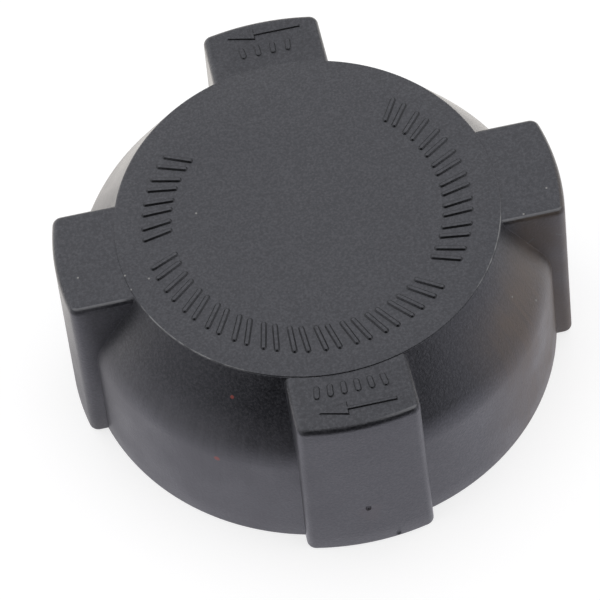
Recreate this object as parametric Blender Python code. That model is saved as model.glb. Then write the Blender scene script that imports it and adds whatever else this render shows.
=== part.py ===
# Threaded pressure cap for an engine's cooling system.
# A moulded grip shell with four lugs screws onto the filler neck. Snapped into it, and free
# to turn in it, is a valve insert: a housing with its neck seals, a spring-loaded pressure
# valve that lifts, and a small vacuum valve in its middle that drops.
# Metres, +Z up. The cap stands on its rim: the origin is the centre of the rim's plane.

import math

import bmesh
import bpy
from mathutils import Matrix, Vector

# Clearances
SEAT_GAP = 0.0003          # between pieces that touch on the real cap
FLANGE_GAP = 0.0004        # round the insert's flange, which turns in the threaded bore
GUIDE_GAP = 0.0006         # round the piston, which slides in the housing
CUT_MARGIN = 0.001         # how far a cutter runs past what it cuts

# Grip shell: one moulding
COLLAR_WALL = 0.0023       # round the threaded bore
POCKET_WIDTH = 0.0065      # open ring between the collar and the skirt, at the rim
SHELL_WALL = 0.0022        # skirt and lugs
TOP_WALL = 0.0026          # flat top over the insert
DISC_MARGIN = 0.0011       # top disc's edge, outside the collar's wall
DISC_STEP = 0.00015        # top disc stands this far above the lugs' tops
DISC_LEDGE = 0.0001        # flat ledge at the disc's foot
SHOULDER_SLOPE = 58.0      # degrees above the horizontal
SHOULDER_RADIUS = 0.0090   # round between shoulder and skirt
SKIRT_DRAFT = 2.3          # degrees
COLLAR_RECESS = 0.0012     # collar's lower edge, above the rim

LUG_COUNT = 4
LUG_PROUD = 0.0025         # lug's outer face beyond the skirt, at the rim
LUG_HALF_WIDTH = 0.0092    # at the rim
LUG_FACE_DRAFT = 2.1       # degrees
LUG_SIDE_DRAFT = 1.15      # degrees
LUG_CORNER_RADIUS = 0.0014     # upright corners
LUG_ROOT_FILLET = 0.0007       # where a flank meets the skirt
LUG_TOP_ROUND = 0.0008         # top edge
LUG_POCKET_CORNER = 0.0005     # inside the lug

RIBS_PER_LUG = 3           # one inside each lug and the rest of them between lugs
RIB_THICKNESS = 0.0014
RIB_RECESS = 0.0030        # ribs' lower edges, above the rim
POCKET_TIP = 0.0012        # width left at the pocket's narrow top

THREAD_DEPTH = 0.0012
THREAD_PITCH = 0.0040
THREAD_TURNS = 2.5
THREAD_LEAD_IN = 0.0038    # collar's lower edge to the middle of the thread's lower end
THREAD_FOOT = 0.0022       # width at the wall
THREAD_CREST = 0.0008
THREAD_FADE = 25.0         # degrees over which each end runs out into the wall

HOOK_COUNT = 6             # snap hooks that hold the insert
HOOK_REACH = 0.0014        # into the bore
HOOK_HEIGHT = 0.0014
HOOK_ANGLE = 14.0          # degrees round the bore

# Valve insert
SLIP_WASHER_THICKNESS = 0.0005
SLIP_WASHER_WIDTH = 0.0080
SLIP_WASHER_MARGIN = 0.0042    # inside the flange's edge
SPIGOT_HEIGHT = 0.0006     # locates the slip washer

FLANGE_THICKNESS = 0.0016
PLATE_THICKNESS = 0.0020   # housing's top, which carries the main spring
HUB_STEP = 0.0019          # beyond the barrel; the hub locates the neck gasket
HUB_BEAD = 0.0008          # keeps the gasket on the hub
HUB_BEAD_HEIGHT = 0.0006
HUB_TAPER_HEIGHT = 0.0010  # from the hub down to the barrel
BARREL_WALL = 0.0022
BARREL_BOTTOM = 0.0044     # above the rim
BARREL_CHAMFER = 0.0005
GASKET_WIDTH = 0.0065
GASKET_THICKNESS = 0.0018
GASKET_CHAMFER = 0.0009    # clears the bead under the gasket's inner edge
FLANGE_MARGIN = 0.0015     # flange beyond the gasket

O_RING_SECTION_RADIUS = 0.0012
O_RING_RISE = 0.0040       # middle of the ring, above the barrel's lower end
O_RING_GROOVE_DEPTH = 0.0013

WINDOW_COUNT = 4           # vents through the barrel, between the O-ring and the gasket
WINDOW_WIDTH = 0.0090
WINDOW_MARGIN = 0.0007     # below the hub's taper
WINDOW_HEIGHT = 0.0062

SPRING_BOSS_WALL = 0.0020  # the boss centres the main spring
SPRING_BOSS_LENGTH = 0.0034
CLIP_CLEARANCE = 0.0016    # between the boss's bore and the vacuum valve's clip

SEAT_LIP_WIDTH = 0.0018
SEAT_LIP_CLEARANCE = 0.0009    # inside the piston's bead
SEAT_LIP_CREST = 0.0007
SEAT_LIP_HEIGHT = 0.0010
SEAT_PLUG_HEIGHT = 0.0031  # spigot that goes up the barrel
SEAT_FLANGE_THICKNESS = 0.0015
SEAT_CHAMFER = 0.0006

# Pressure valve
SEAL_THICKNESS = 0.0015
SEAL_BORE_MARGIN = 0.0008  # beyond the piston's bore
PISTON_RIM_WALL = 0.0008
PISTON_BEAD = 0.0007       # holds the seal in the rim
PISTON_BEAD_HEIGHT = 0.0005
PISTON_WEB = 0.0018
PISTON_GUIDE_HEIGHT = 0.0025   # rim and boss above the web
PISTON_BOSS_WALL = 0.0015
FLUTE_COUNT = 6            # flow grooves down the rim
FLUTE_RADIUS = 0.0014
FLUTE_DEPTH = 0.0004

SPRING_WASHER_THICKNESS = 0.0006
SPRING_WIRE_RADIUS = 0.0008
SPRING_HEIGHT = 0.0107
SPRING_TURNS = 4.0
SPRING_INNER_GAP = 0.0011  # round the spring boss
SPRING_OUTER_GAP = 0.0007  # inside the piston's rim

# Vacuum valve
STEM_RADIUS = 0.0012
STEM_CLEARANCE = 0.0009    # in the piston's bore
STEM_TIP = 0.0009          # stem above its groove
STEM_TIP_CHAMFER = 0.0003
GROOVE_DEPTH = 0.0004
POPPET_CLEARANCE = 0.0012  # inside the seat's bore
POPPET_THICKNESS = 0.0009
POPPET_LIP_WIDTH = 0.0010
POPPET_LIP_HEIGHT = 0.0004
POPPET_LIP_SLOPE = 0.0004  # width of the slopes beside the lip
CLIP_THICKNESS = 0.0006
CLIP_OVERLAP = 0.0003      # beyond the small spring
CLIP_MOUTH = 70.0          # degrees, the open side of the clip
SMALL_SPRING_WIRE_RADIUS = 0.00025
SMALL_SPRING_HEIGHT = 0.0036
SMALL_SPRING_TURNS = 3.0
END_COIL_PITCH = 1.1       # of the wire's thickness, along the last half turn at each end

# Facets round a full turn
SHELL_SEGMENTS = 72
INSERT_SEGMENTS = 44
VALVE_SEGMENTS = 40
STEM_SEGMENTS = 24
SECTION_SEGMENTS = 8       # round an O-ring's section
SPRING_STEPS = 20          # along a turn of wire

# Levels, from the barrel's lower end up
SEAT_FLANGE_TOP = BARREL_BOTTOM - SEAT_GAP
SEAT_PLUG_TOP = SEAT_FLANGE_TOP + SEAT_PLUG_HEIGHT
SEAT_CREST = SEAT_PLUG_TOP + SEAT_LIP_HEIGHT
SEAL_BOTTOM = SEAT_CREST + SEAT_GAP
SEAL_TOP = SEAL_BOTTOM + SEAL_THICKNESS
WEB_BOTTOM = SEAL_TOP + SEAT_GAP
WEB_TOP = WEB_BOTTOM + PISTON_WEB
PISTON_TOP = WEB_TOP + PISTON_GUIDE_HEIGHT
BEAD_SEAT = SEAL_BOTTOM - SEAT_GAP
POPPET_TOP = SEAL_BOTTOM - SEAT_GAP
SMALL_SPRING_BOTTOM = PISTON_TOP + SEAT_GAP
SMALL_SPRING_TOP = SMALL_SPRING_BOTTOM + SMALL_SPRING_HEIGHT
CLIP_BOTTOM = SMALL_SPRING_TOP + SEAT_GAP
SPRING_BOTTOM = WEB_TOP + SEAT_GAP
SPRING_TOP = SPRING_BOTTOM + SPRING_HEIGHT
SPRING_WASHER_TOP = SPRING_TOP + SEAT_GAP + SPRING_WASHER_THICKNESS
PLATE_BOTTOM = SPRING_WASHER_TOP + SEAT_GAP
FLANGE_TOP = PLATE_BOTTOM + PLATE_THICKNESS
FLANGE_BOTTOM = FLANGE_TOP - FLANGE_THICKNESS
SLIP_WASHER_TOP = FLANGE_TOP + SEAT_GAP + SLIP_WASHER_THICKNESS
SHELL_UNDERSIDE = SLIP_WASHER_TOP + SEAT_GAP
SHELL_HEIGHT = SHELL_UNDERSIDE + TOP_WALL
LUG_TOP = SHELL_HEIGHT - DISC_STEP

# Levels, from the flange down
HOOK_TOP = FLANGE_BOTTOM - SEAT_GAP
GASKET_TOP = FLANGE_BOTTOM - SEAT_GAP
GASKET_BOTTOM = GASKET_TOP - GASKET_THICKNESS
BEAD_TOP = GASKET_BOTTOM - SEAT_GAP
HUB_BOTTOM = BEAD_TOP - HUB_BEAD_HEIGHT
BARREL_TOP = HUB_BOTTOM - HUB_TAPER_HEIGHT

# Radii, from the middle out
PISTON_BORE_RADIUS = STEM_RADIUS + STEM_CLEARANCE
SEAL_BORE_RADIUS = PISTON_BORE_RADIUS + SEAL_BORE_MARGIN
BOSS_RADIUS = PISTON_BORE_RADIUS + PISTON_BOSS_WALL
SMALL_SPRING_RADIUS = (PISTON_BORE_RADIUS + BOSS_RADIUS) / 2
CLIP_RADIUS = SMALL_SPRING_RADIUS + SMALL_SPRING_WIRE_RADIUS + CLIP_OVERLAP
SPRING_BOSS_BORE = CLIP_RADIUS + CLIP_CLEARANCE
SPRING_BOSS_RADIUS = SPRING_BOSS_BORE + SPRING_BOSS_WALL
SPRING_RADIUS = SPRING_BOSS_RADIUS + SPRING_INNER_GAP + SPRING_WIRE_RADIUS
RIM_BORE_RADIUS = SPRING_RADIUS + SPRING_WIRE_RADIUS + SPRING_OUTER_GAP
SEAL_RADIUS = RIM_BORE_RADIUS - SEAT_GAP
SEAT_BORE_RADIUS = RIM_BORE_RADIUS - PISTON_BEAD - SEAT_LIP_CLEARANCE - SEAT_LIP_WIDTH
POPPET_RADIUS = SEAT_BORE_RADIUS - POPPET_CLEARANCE
PISTON_RADIUS = RIM_BORE_RADIUS + PISTON_RIM_WALL
BARREL_BORE_RADIUS = PISTON_RADIUS + GUIDE_GAP
BARREL_RADIUS = BARREL_BORE_RADIUS + BARREL_WALL
GROOVE_RADIUS = BARREL_RADIUS - O_RING_GROOVE_DEPTH
HUB_RADIUS = BARREL_RADIUS + HUB_STEP
GASKET_INNER = HUB_RADIUS + SEAT_GAP
GASKET_OUTER = GASKET_INNER + GASKET_WIDTH
FLANGE_RADIUS = GASKET_OUTER + FLANGE_MARGIN
SLIP_WASHER_OUTER = FLANGE_RADIUS - SLIP_WASHER_MARGIN
SLIP_WASHER_INNER = SLIP_WASHER_OUTER - SLIP_WASHER_WIDTH
THREAD_BORE_RADIUS = FLANGE_RADIUS + FLANGE_GAP
COLLAR_RADIUS = THREAD_BORE_RADIUS + COLLAR_WALL
DISC_RADIUS = COLLAR_RADIUS + DISC_MARGIN
SKIRT_RADIUS = COLLAR_RADIUS + POCKET_WIDTH + SHELL_WALL
LUG_RADIUS = SKIRT_RADIUS + LUG_PROUD


def material(name, colour, roughness, metallic):
    made = bpy.data.materials.new(name)
    made.use_nodes = True
    shader = made.node_tree.nodes["Principled BSDF"]
    shader.inputs["Base Color"].default_value = (*colour, 1.0)
    shader.inputs["Roughness"].default_value = roughness
    shader.inputs["Metallic"].default_value = metallic
    made.diffuse_color = (*colour, 1.0)
    return made


def object_from(name, mesh_data, finish=None):
    """Turns a bmesh into a named object, with its normals outward and its round faces smooth."""
    bmesh.ops.recalc_face_normals(mesh_data, faces=mesh_data.faces[:])
    mesh = bpy.data.meshes.new(name)
    mesh_data.to_mesh(mesh)
    mesh_data.free()
    mesh.shade_smooth()
    mesh.set_sharp_from_angle(angle=math.radians(35.0))
    made = bpy.data.objects.new(name, mesh)
    bpy.context.scene.collection.objects.link(made)
    if finish:
        mesh.materials.append(finish)
    return made


def as_cutter(made):
    made.hide_render = True
    made.display_type = "WIRE"
    return made


def combine(target, other, operation):
    modifier = target.modifiers.new(other.name, "BOOLEAN")
    modifier.operation = operation
    modifier.solver = "MANIFOLD"
    modifier.object = other


def fillet(before, corner, after, radius, steps):
    """Points of the arc that rounds a corner of a profile, from the first side to the second."""
    before, corner, after = Vector(before), Vector(corner), Vector(after)
    into = (before - corner).normalized()
    out = (after - corner).normalized()
    half = into.angle(out) / 2
    centre = corner + (into + out).normalized() * radius / math.sin(half)
    first = corner + into * radius / math.tan(half) - centre
    last = corner + out * radius / math.tan(half) - centre
    turn = first.angle_signed(last)
    return [tuple(centre + Matrix.Rotation(-turn * i / steps, 2) @ first) for i in range(steps + 1)]


def turned(name, profile, segments, finish=None):
    """Spins a closed (radius, height) profile round the Z axis."""
    bm = bmesh.new()
    ring = [bm.verts.new((radius, 0.0, height)) for radius, height in profile]
    edges = [bm.edges.new((a, b)) for a, b in zip(ring, ring[1:])]
    if profile[0][0] > 0.0 or profile[-1][0] > 0.0:
        edges.append(bm.edges.new((ring[-1], ring[0])))
    bmesh.ops.spin(bm, geom=ring + edges, cent=(0, 0, 0), axis=(0, 0, 1), dvec=(0, 0, 0),
                   angle=math.tau, steps=segments, use_merge=True, use_duplicate=False)
    bmesh.ops.remove_doubles(bm, verts=bm.verts[:], dist=1e-7)
    return object_from(name, bm, finish)


def lofted(name, rings, finish=None, closed_path=False):
    """Skins a solid through rings of matching points. Its ends are capped, unless the path closes."""
    bm = bmesh.new()
    skin_rings(bm, rings, closed_path)
    return object_from(name, bm, finish)


def skin_rings(bm, rings, closed_path=False):
    loops = [[bm.verts.new(point) for point in ring] for ring in rings]
    pairs = list(zip(loops, loops[1:]))
    if closed_path:
        pairs.append((loops[-1], loops[0]))
    for lower, upper in pairs:
        for i in range(len(lower)):
            j = (i + 1) % len(lower)
            bm.faces.new((lower[i], lower[j], upper[j], upper[i]))
    if not closed_path:
        bm.faces.new(loops[0])
        bm.faces.new(loops[-1])


def arc(centre, radius, start, end, steps, skip_first=False):
    """Points of a plan arc; angles in radians."""
    first = 1 if skip_first else 0
    angles = [start + (end - start) * i / steps for i in range(first, steps + 1)]
    return [(centre[0] + radius * math.cos(a), centre[1] + radius * math.sin(a)) for a in angles]


def lobed_outline(body_radius, lug_radius, half_width, root_fillet, corner_radius):
    """Plan outline of a circle with lugs: rounded at their corners and filleted at their roots."""
    corner_v = half_width - corner_radius
    corner_u = math.sqrt((lug_radius - corner_radius) ** 2 - corner_v ** 2)
    root_v = half_width + root_fillet
    root_u = math.sqrt((body_radius + root_fillet) ** 2 - root_v ** 2)
    corner_angle = math.atan2(corner_v, corner_u)
    root_angle = math.atan2(root_v, root_u)
    half = arc((0, 0), lug_radius, 0.0, corner_angle, 2)
    half += arc((corner_u, corner_v), corner_radius, corner_angle, math.pi / 2, 3, True)
    half += arc((root_u, root_v), root_fillet, math.pi * 1.5, math.pi + root_angle, 2)
    half += arc((0, 0), body_radius, root_angle, math.pi / LUG_COUNT, 5, True)
    mirrored = [(u, -v) for u, v in reversed(half[1:])]
    sector = mirrored[1:] + half
    outline = []
    for lug in range(LUG_COUNT):
        turn = math.tau * lug / LUG_COUNT
        cosine, sine = math.cos(turn), math.sin(turn)
        outline += [(u * cosine - v * sine, u * sine + v * cosine) for u, v in sector]
    return outline


def ring_at(outline, height):
    return [(x, y, height) for x, y in outline]


def circle_along(outline, radius, height):
    """A circle with one point at the bearing of each point of an outline."""
    bearings = [math.atan2(y, x) for x, y in outline]
    return [(radius * math.cos(b), radius * math.sin(b), height) for b in bearings]


def slope(angle):
    return math.tan(math.radians(angle))


def skirt_profile(inset):
    """(radius, height) points up the skirt, round the shoulder and up its cone, set in by a wall."""
    cone_shift = inset / math.sin(math.radians(SHOULDER_SLOPE))
    foot = SKIRT_RADIUS - inset
    head = DISC_RADIUS + DISC_LEDGE - cone_shift
    run = 1.0 / slope(SHOULDER_SLOPE)
    corner_height = (head + LUG_TOP * run - foot) / (run - slope(SKIRT_DRAFT))
    corner = (foot - slope(SKIRT_DRAFT) * corner_height, corner_height)
    round_radius = max(SHOULDER_RADIUS - inset, SHELL_WALL)
    rounded = fillet((foot, 0.0), corner, (head, LUG_TOP), round_radius, 4)
    return [(foot, 0.0)] + rounded + [(head, LUG_TOP)]


def radius_on(profile, height):
    """Radius of a rising profile at one height."""
    for (r0, z0), (r1, z1) in zip(profile, profile[1:]):
        if z0 <= height <= z1:
            return r0 + (r1 - r0) * (height - z0) / (z1 - z0)
    return profile[-1][0]


def lug_size_at(height):
    """Outer radius and half width of a lug at one height."""
    return (LUG_RADIUS - slope(LUG_FACE_DRAFT) * height,
            LUG_HALF_WIDTH - slope(LUG_SIDE_DRAFT) * height)


def shell_blank(finish):
    """The shell's outside as one solid: skirt, shoulder, lugs and the raised disc."""
    profile = skirt_profile(0.0)
    round_foot = LUG_TOP - LUG_TOP_ROUND
    cone_foot = profile[-2][1]
    levels = [height for _, height in profile[:-1]]
    levels += [cone_foot + (round_foot - cone_foot) * i / 3 for i in (1, 2, 3)]
    outlines = []
    for height in levels:
        lug_radius, half_width = lug_size_at(height)
        outlines.append((height, lug_radius, half_width, LUG_CORNER_RADIUS))
    for turn in (30.0, 60.0, 90.0):
        height = round_foot + LUG_TOP_ROUND * math.sin(math.radians(turn))
        inset = LUG_TOP_ROUND * (1.0 - math.cos(math.radians(turn)))
        lug_radius, half_width = lug_size_at(height)
        outlines.append((height, lug_radius - inset, half_width - inset, LUG_CORNER_RADIUS - inset))
    rings = []
    for height, lug_radius, half_width, corner in outlines:
        outline = lobed_outline(radius_on(profile, height), lug_radius, half_width,
                                LUG_ROOT_FILLET, corner)
        rings.append(ring_at(outline, height))
    rings.append(circle_along(outline, DISC_RADIUS, LUG_TOP))
    rings.append(circle_along(outline, DISC_RADIUS, SHELL_HEIGHT))
    return lofted("cap_shell", rings, finish)


def rib_blades():
    """Blades that the pocket cutters are notched with, so that ribs are left standing."""
    bm = bmesh.new()
    inner = COLLAR_RADIUS - COLLAR_WALL / 2
    outer = LUG_RADIUS + CUT_MARGIN
    size = (outer - inner, RIB_THICKNESS, SHELL_HEIGHT - RIB_RECESS)
    middle = ((outer + inner) / 2, 0.0, (SHELL_HEIGHT + RIB_RECESS) / 2)
    count = RIBS_PER_LUG * LUG_COUNT
    for i in range(count):
        place = Matrix.Rotation(math.tau * i / count, 4, "Z") @ Matrix.Translation(middle)
        bmesh.ops.create_cube(bm, size=1.0, matrix=place @ Matrix.Diagonal((*size, 1.0)))
    return as_cutter(object_from("rib_blades", bm))


def ring_pocket_cutter():
    """The open ring between the threaded collar and the skirt, up under the shoulder."""
    inside = skirt_profile(SHELL_WALL)
    top = inside[-1][1] - (COLLAR_RADIUS + POCKET_TIP - inside[-1][0]) * slope(SHOULDER_SLOPE)
    outer = [(inside[0][0] + slope(SKIRT_DRAFT) * CUT_MARGIN, -CUT_MARGIN)]
    outer += [point for point in inside[1:] if point[1] < top]
    outer.append((radius_on(inside, top), top))
    loop = [(COLLAR_RADIUS, -CUT_MARGIN)] + outer + [(COLLAR_RADIUS, top)]
    return as_cutter(turned("ring_pocket_cutter", loop, SHELL_SEGMENTS))


def lug_pocket_cutter():
    """Hollows the lugs from below, as far in as the collar."""
    bm = bmesh.new()
    heights = (-CUT_MARGIN, LUG_TOP - TOP_WALL)
    rings = []
    for height in heights:
        lug_radius, half_width = lug_size_at(height)
        outer, half = lug_radius - SHELL_WALL, half_width - SHELL_WALL
        inner = math.sqrt(COLLAR_RADIUS ** 2 - half ** 2) - COLLAR_WALL / 2
        corner_v = half - LUG_POCKET_CORNER
        corner_u = math.sqrt((outer - LUG_POCKET_CORNER) ** 2 - corner_v ** 2)
        bearing = math.atan2(corner_v, corner_u)
        side = arc((corner_u, corner_v), LUG_POCKET_CORNER, bearing, math.pi / 2, 2)
        side.append((inner, half))
        plan = [(u, -v) for u, v in reversed(side)] + arc((0, 0), outer, -bearing, bearing, 4)[1:-1] + side
        rings.append(plan)
    for lug in range(LUG_COUNT):
        turn = Matrix.Rotation(math.tau * lug / LUG_COUNT, 3, "Z")
        solid = [[turn @ Vector((u, v, z)) for u, v in plan] for plan, z in zip(rings, heights)]
        skin_rings(bm, solid)
    return as_cutter(object_from("lug_pocket_cutter", bm))


def collar_core():
    loop = [(0.0, -2 * CUT_MARGIN), (COLLAR_RADIUS, -2 * CUT_MARGIN),
            (COLLAR_RADIUS, SHELL_HEIGHT), (0.0, SHELL_HEIGHT)]
    return as_cutter(turned("collar_core", loop, SHELL_SEGMENTS))


def bore_cutter():
    """The threaded bore, and the recess that sets the collar's lower edge above the rim."""
    recess_radius = COLLAR_RADIUS + POCKET_WIDTH / 2
    loop = [(0.0, -CUT_MARGIN), (recess_radius, -CUT_MARGIN), (recess_radius, COLLAR_RECESS),
            (THREAD_BORE_RADIUS, COLLAR_RECESS), (THREAD_BORE_RADIUS, SHELL_UNDERSIDE),
            (0.0, SHELL_UNDERSIDE)]
    return as_cutter(turned("bore_cutter", loop, SHELL_SEGMENTS))


def thread_ridge():
    """A right-hand thread inside the bore, rooted in the wall. Both ends run out into it."""
    root = THREAD_BORE_RADIUS + COLLAR_WALL / 3
    steps = round(THREAD_TURNS * SHELL_SEGMENTS / 2)
    sweep = THREAD_TURNS * 360.0
    rings = []
    for i in range(steps + 1):
        angle = sweep * i / steps
        rise = min(1.0, angle / THREAD_FADE, (sweep - angle) / THREAD_FADE)
        depth = THREAD_DEPTH * rise - (1.0 - rise) * COLLAR_WALL / 6
        crest = THREAD_BORE_RADIUS - depth
        middle = COLLAR_RECESS + THREAD_LEAD_IN + THREAD_PITCH * angle / 360.0
        spread = (root - crest) / (root - THREAD_BORE_RADIUS + THREAD_DEPTH)
        half_foot = THREAD_FOOT / 2
        half_crest = half_foot + (THREAD_CREST / 2 - half_foot) * spread
        turn = math.radians(angle)
        section = [(root, -half_foot), (crest, -half_crest), (crest, half_crest), (root, half_foot)]
        rings.append([(r * math.cos(turn), r * math.sin(turn), middle + z) for r, z in section])
    return as_cutter(lofted("thread_ridge", rings))


def snap_hooks():
    """Wedges in the bore that the insert's flange snaps past."""
    bm = bmesh.new()
    wall = THREAD_BORE_RADIUS + COLLAR_WALL / 3
    tip = THREAD_BORE_RADIUS - HOOK_REACH
    blunt = HOOK_HEIGHT / 3
    section = [(wall, HOOK_TOP), (tip, HOOK_TOP), (tip, HOOK_TOP - blunt), (wall, HOOK_TOP - HOOK_HEIGHT)]
    for hook in range(HOOK_COUNT):
        rings = []
        for i in range(4):
            turn = math.tau * (hook + 0.5) / HOOK_COUNT + math.radians(HOOK_ANGLE) * (i / 3 - 0.5)
            rings.append([(r * math.cos(turn), r * math.sin(turn), z) for r, z in section])
        skin_rings(bm, rings)
    return as_cutter(object_from("snap_hooks", bm))


def grip_shell(finish):
    shell = shell_blank(finish)
    blades = rib_blades()
    ring_pocket = ring_pocket_cutter()
    lug_pocket = lug_pocket_cutter()
    combine(ring_pocket, blades, "DIFFERENCE")
    combine(lug_pocket, collar_core(), "DIFFERENCE")
    combine(lug_pocket, blades, "DIFFERENCE")
    combine(shell, ring_pocket, "DIFFERENCE")
    combine(shell, lug_pocket, "DIFFERENCE")
    combine(shell, bore_cutter(), "DIFFERENCE")
    combine(shell, thread_ridge(), "UNION")
    combine(shell, snap_hooks(), "UNION")
    return shell


def flat_ring(name, inner, outer, bottom, top, segments, finish):
    loop = [(inner, bottom), (outer, bottom), (outer, top), (inner, top)]
    return turned(name, loop, segments, finish)


def valve_housing(finish):
    """Cup open downwards: flange, gasket hub, barrel with its O-ring groove, and a spring boss."""
    groove_half = O_RING_SECTION_RADIUS + SEAT_GAP
    groove_middle = BARREL_BOTTOM + O_RING_RISE
    groove_top, groove_bottom = groove_middle + groove_half, groove_middle - groove_half
    spigot_radius = SLIP_WASHER_INNER - SEAT_GAP
    spigot_top = FLANGE_TOP + SPIGOT_HEIGHT
    boss_bottom = PLATE_BOTTOM - SPRING_BOSS_LENGTH
    loop = [
        (0.0, spigot_top), (spigot_radius, spigot_top), (spigot_radius, FLANGE_TOP),
        (FLANGE_RADIUS, FLANGE_TOP), (FLANGE_RADIUS, FLANGE_BOTTOM), (HUB_RADIUS, FLANGE_BOTTOM),
        (HUB_RADIUS, BEAD_TOP), (HUB_RADIUS + HUB_BEAD, BEAD_TOP), (HUB_RADIUS, HUB_BOTTOM),
        (BARREL_RADIUS, BARREL_TOP), (BARREL_RADIUS, groove_top),
        (GROOVE_RADIUS, groove_top), (GROOVE_RADIUS, groove_bottom), (BARREL_RADIUS, groove_bottom),
        (BARREL_RADIUS, BARREL_BOTTOM + BARREL_CHAMFER), (BARREL_RADIUS - BARREL_CHAMFER, BARREL_BOTTOM),
        (BARREL_BORE_RADIUS, BARREL_BOTTOM), (BARREL_BORE_RADIUS, PLATE_BOTTOM),
        (SPRING_BOSS_RADIUS, PLATE_BOTTOM), (SPRING_BOSS_RADIUS, boss_bottom),
        (SPRING_BOSS_BORE, boss_bottom), (SPRING_BOSS_BORE, PLATE_BOTTOM), (0.0, PLATE_BOTTOM),
    ]
    housing = turned("valve_housing", loop, INSERT_SEGMENTS, finish)
    bm = bmesh.new()
    inner, outer = (BARREL_BORE_RADIUS + SPRING_BOSS_RADIUS) / 2, HUB_RADIUS
    size = (outer - inner, WINDOW_WIDTH, WINDOW_HEIGHT)
    middle = ((outer + inner) / 2, 0.0, BARREL_TOP - WINDOW_MARGIN - WINDOW_HEIGHT / 2)
    for i in range(WINDOW_COUNT):
        place = Matrix.Rotation(math.tau * (i + 0.5) / WINDOW_COUNT, 4, "Z") @ Matrix.Translation(middle)
        bmesh.ops.create_cube(bm, size=1.0, matrix=place @ Matrix.Diagonal((*size, 1.0)))
    combine(housing, as_cutter(object_from("window_cutter", bm)), "DIFFERENCE")
    return housing


def neck_gasket(finish):
    """Flat ring that the neck's rim presses on, chamfered where the hub's bead holds it."""
    loop = [(GASKET_INNER, GASKET_BOTTOM + GASKET_CHAMFER), (GASKET_INNER + GASKET_CHAMFER, GASKET_BOTTOM),
            (GASKET_OUTER, GASKET_BOTTOM), (GASKET_OUTER, GASKET_TOP), (GASKET_INNER, GASKET_TOP)]
    return turned("neck_gasket", loop, INSERT_SEGMENTS, finish)


def neck_o_ring(finish):
    middle = (GROOVE_RADIUS + SEAT_GAP + O_RING_SECTION_RADIUS, BARREL_BOTTOM + O_RING_RISE)
    loop = arc(middle, O_RING_SECTION_RADIUS, 0.0, math.tau, SECTION_SEGMENTS, True)
    return turned("neck_o_ring", loop, VALVE_SEGMENTS, finish)


def valve_seat_ring(finish):
    """Closes the barrel's lower end and carries the lip that the pressure seal sits on."""
    bottom = SEAT_FLANGE_TOP - SEAT_FLANGE_THICKNESS
    plug_radius = BARREL_BORE_RADIUS - SEAT_GAP
    lip_outer = SEAT_BORE_RADIUS + SEAT_LIP_WIDTH
    crest_middle = SEAT_BORE_RADIUS + SEAT_LIP_WIDTH * 0.6
    loop = [
        (SEAT_BORE_RADIUS, bottom + SEAT_CHAMFER), (SEAT_BORE_RADIUS + SEAT_CHAMFER, bottom),
        (BARREL_RADIUS, bottom), (BARREL_RADIUS, SEAT_FLANGE_TOP), (plug_radius, SEAT_FLANGE_TOP),
        (plug_radius, SEAT_PLUG_TOP), (lip_outer, SEAT_PLUG_TOP),
        (crest_middle + SEAT_LIP_CREST / 2, SEAT_CREST), (crest_middle - SEAT_LIP_CREST / 2, SEAT_CREST),
        (SEAT_BORE_RADIUS, SEAT_PLUG_TOP),
    ]
    return turned("valve_seat_ring", loop, INSERT_SEGMENTS, finish)


def pressure_piston(finish):
    """Carries the pressure seal in its rim. Flutes down the rim let the vented steam past."""
    bead_bottom = BEAD_SEAT - PISTON_BEAD_HEIGHT
    bead_radius = RIM_BORE_RADIUS - PISTON_BEAD
    loop = [
        (PISTON_BORE_RADIUS, WEB_BOTTOM), (PISTON_BORE_RADIUS, PISTON_TOP), (BOSS_RADIUS, PISTON_TOP),
        (BOSS_RADIUS, WEB_TOP), (RIM_BORE_RADIUS, WEB_TOP), (RIM_BORE_RADIUS, PISTON_TOP),
        (PISTON_RADIUS, PISTON_TOP), (PISTON_RADIUS, bead_bottom), (bead_radius, bead_bottom),
        (bead_radius, BEAD_SEAT), (RIM_BORE_RADIUS, BEAD_SEAT), (RIM_BORE_RADIUS, WEB_BOTTOM),
    ]
    piston = turned("pressure_piston", loop, VALVE_SEGMENTS, finish)
    bm = bmesh.new()
    height = PISTON_TOP - bead_bottom + 2 * CUT_MARGIN
    middle = (PISTON_RADIUS - FLUTE_DEPTH + FLUTE_RADIUS, 0.0, (PISTON_TOP + bead_bottom) / 2)
    for i in range(FLUTE_COUNT):
        place = Matrix.Rotation(math.tau * i / FLUTE_COUNT, 4, "Z") @ Matrix.Translation(middle)
        bmesh.ops.create_cone(bm, cap_ends=True, segments=12, radius1=FLUTE_RADIUS,
                              radius2=FLUTE_RADIUS, depth=height, matrix=place)
    combine(piston, as_cutter(object_from("flute_cutter", bm)), "DIFFERENCE")
    return piston


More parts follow.
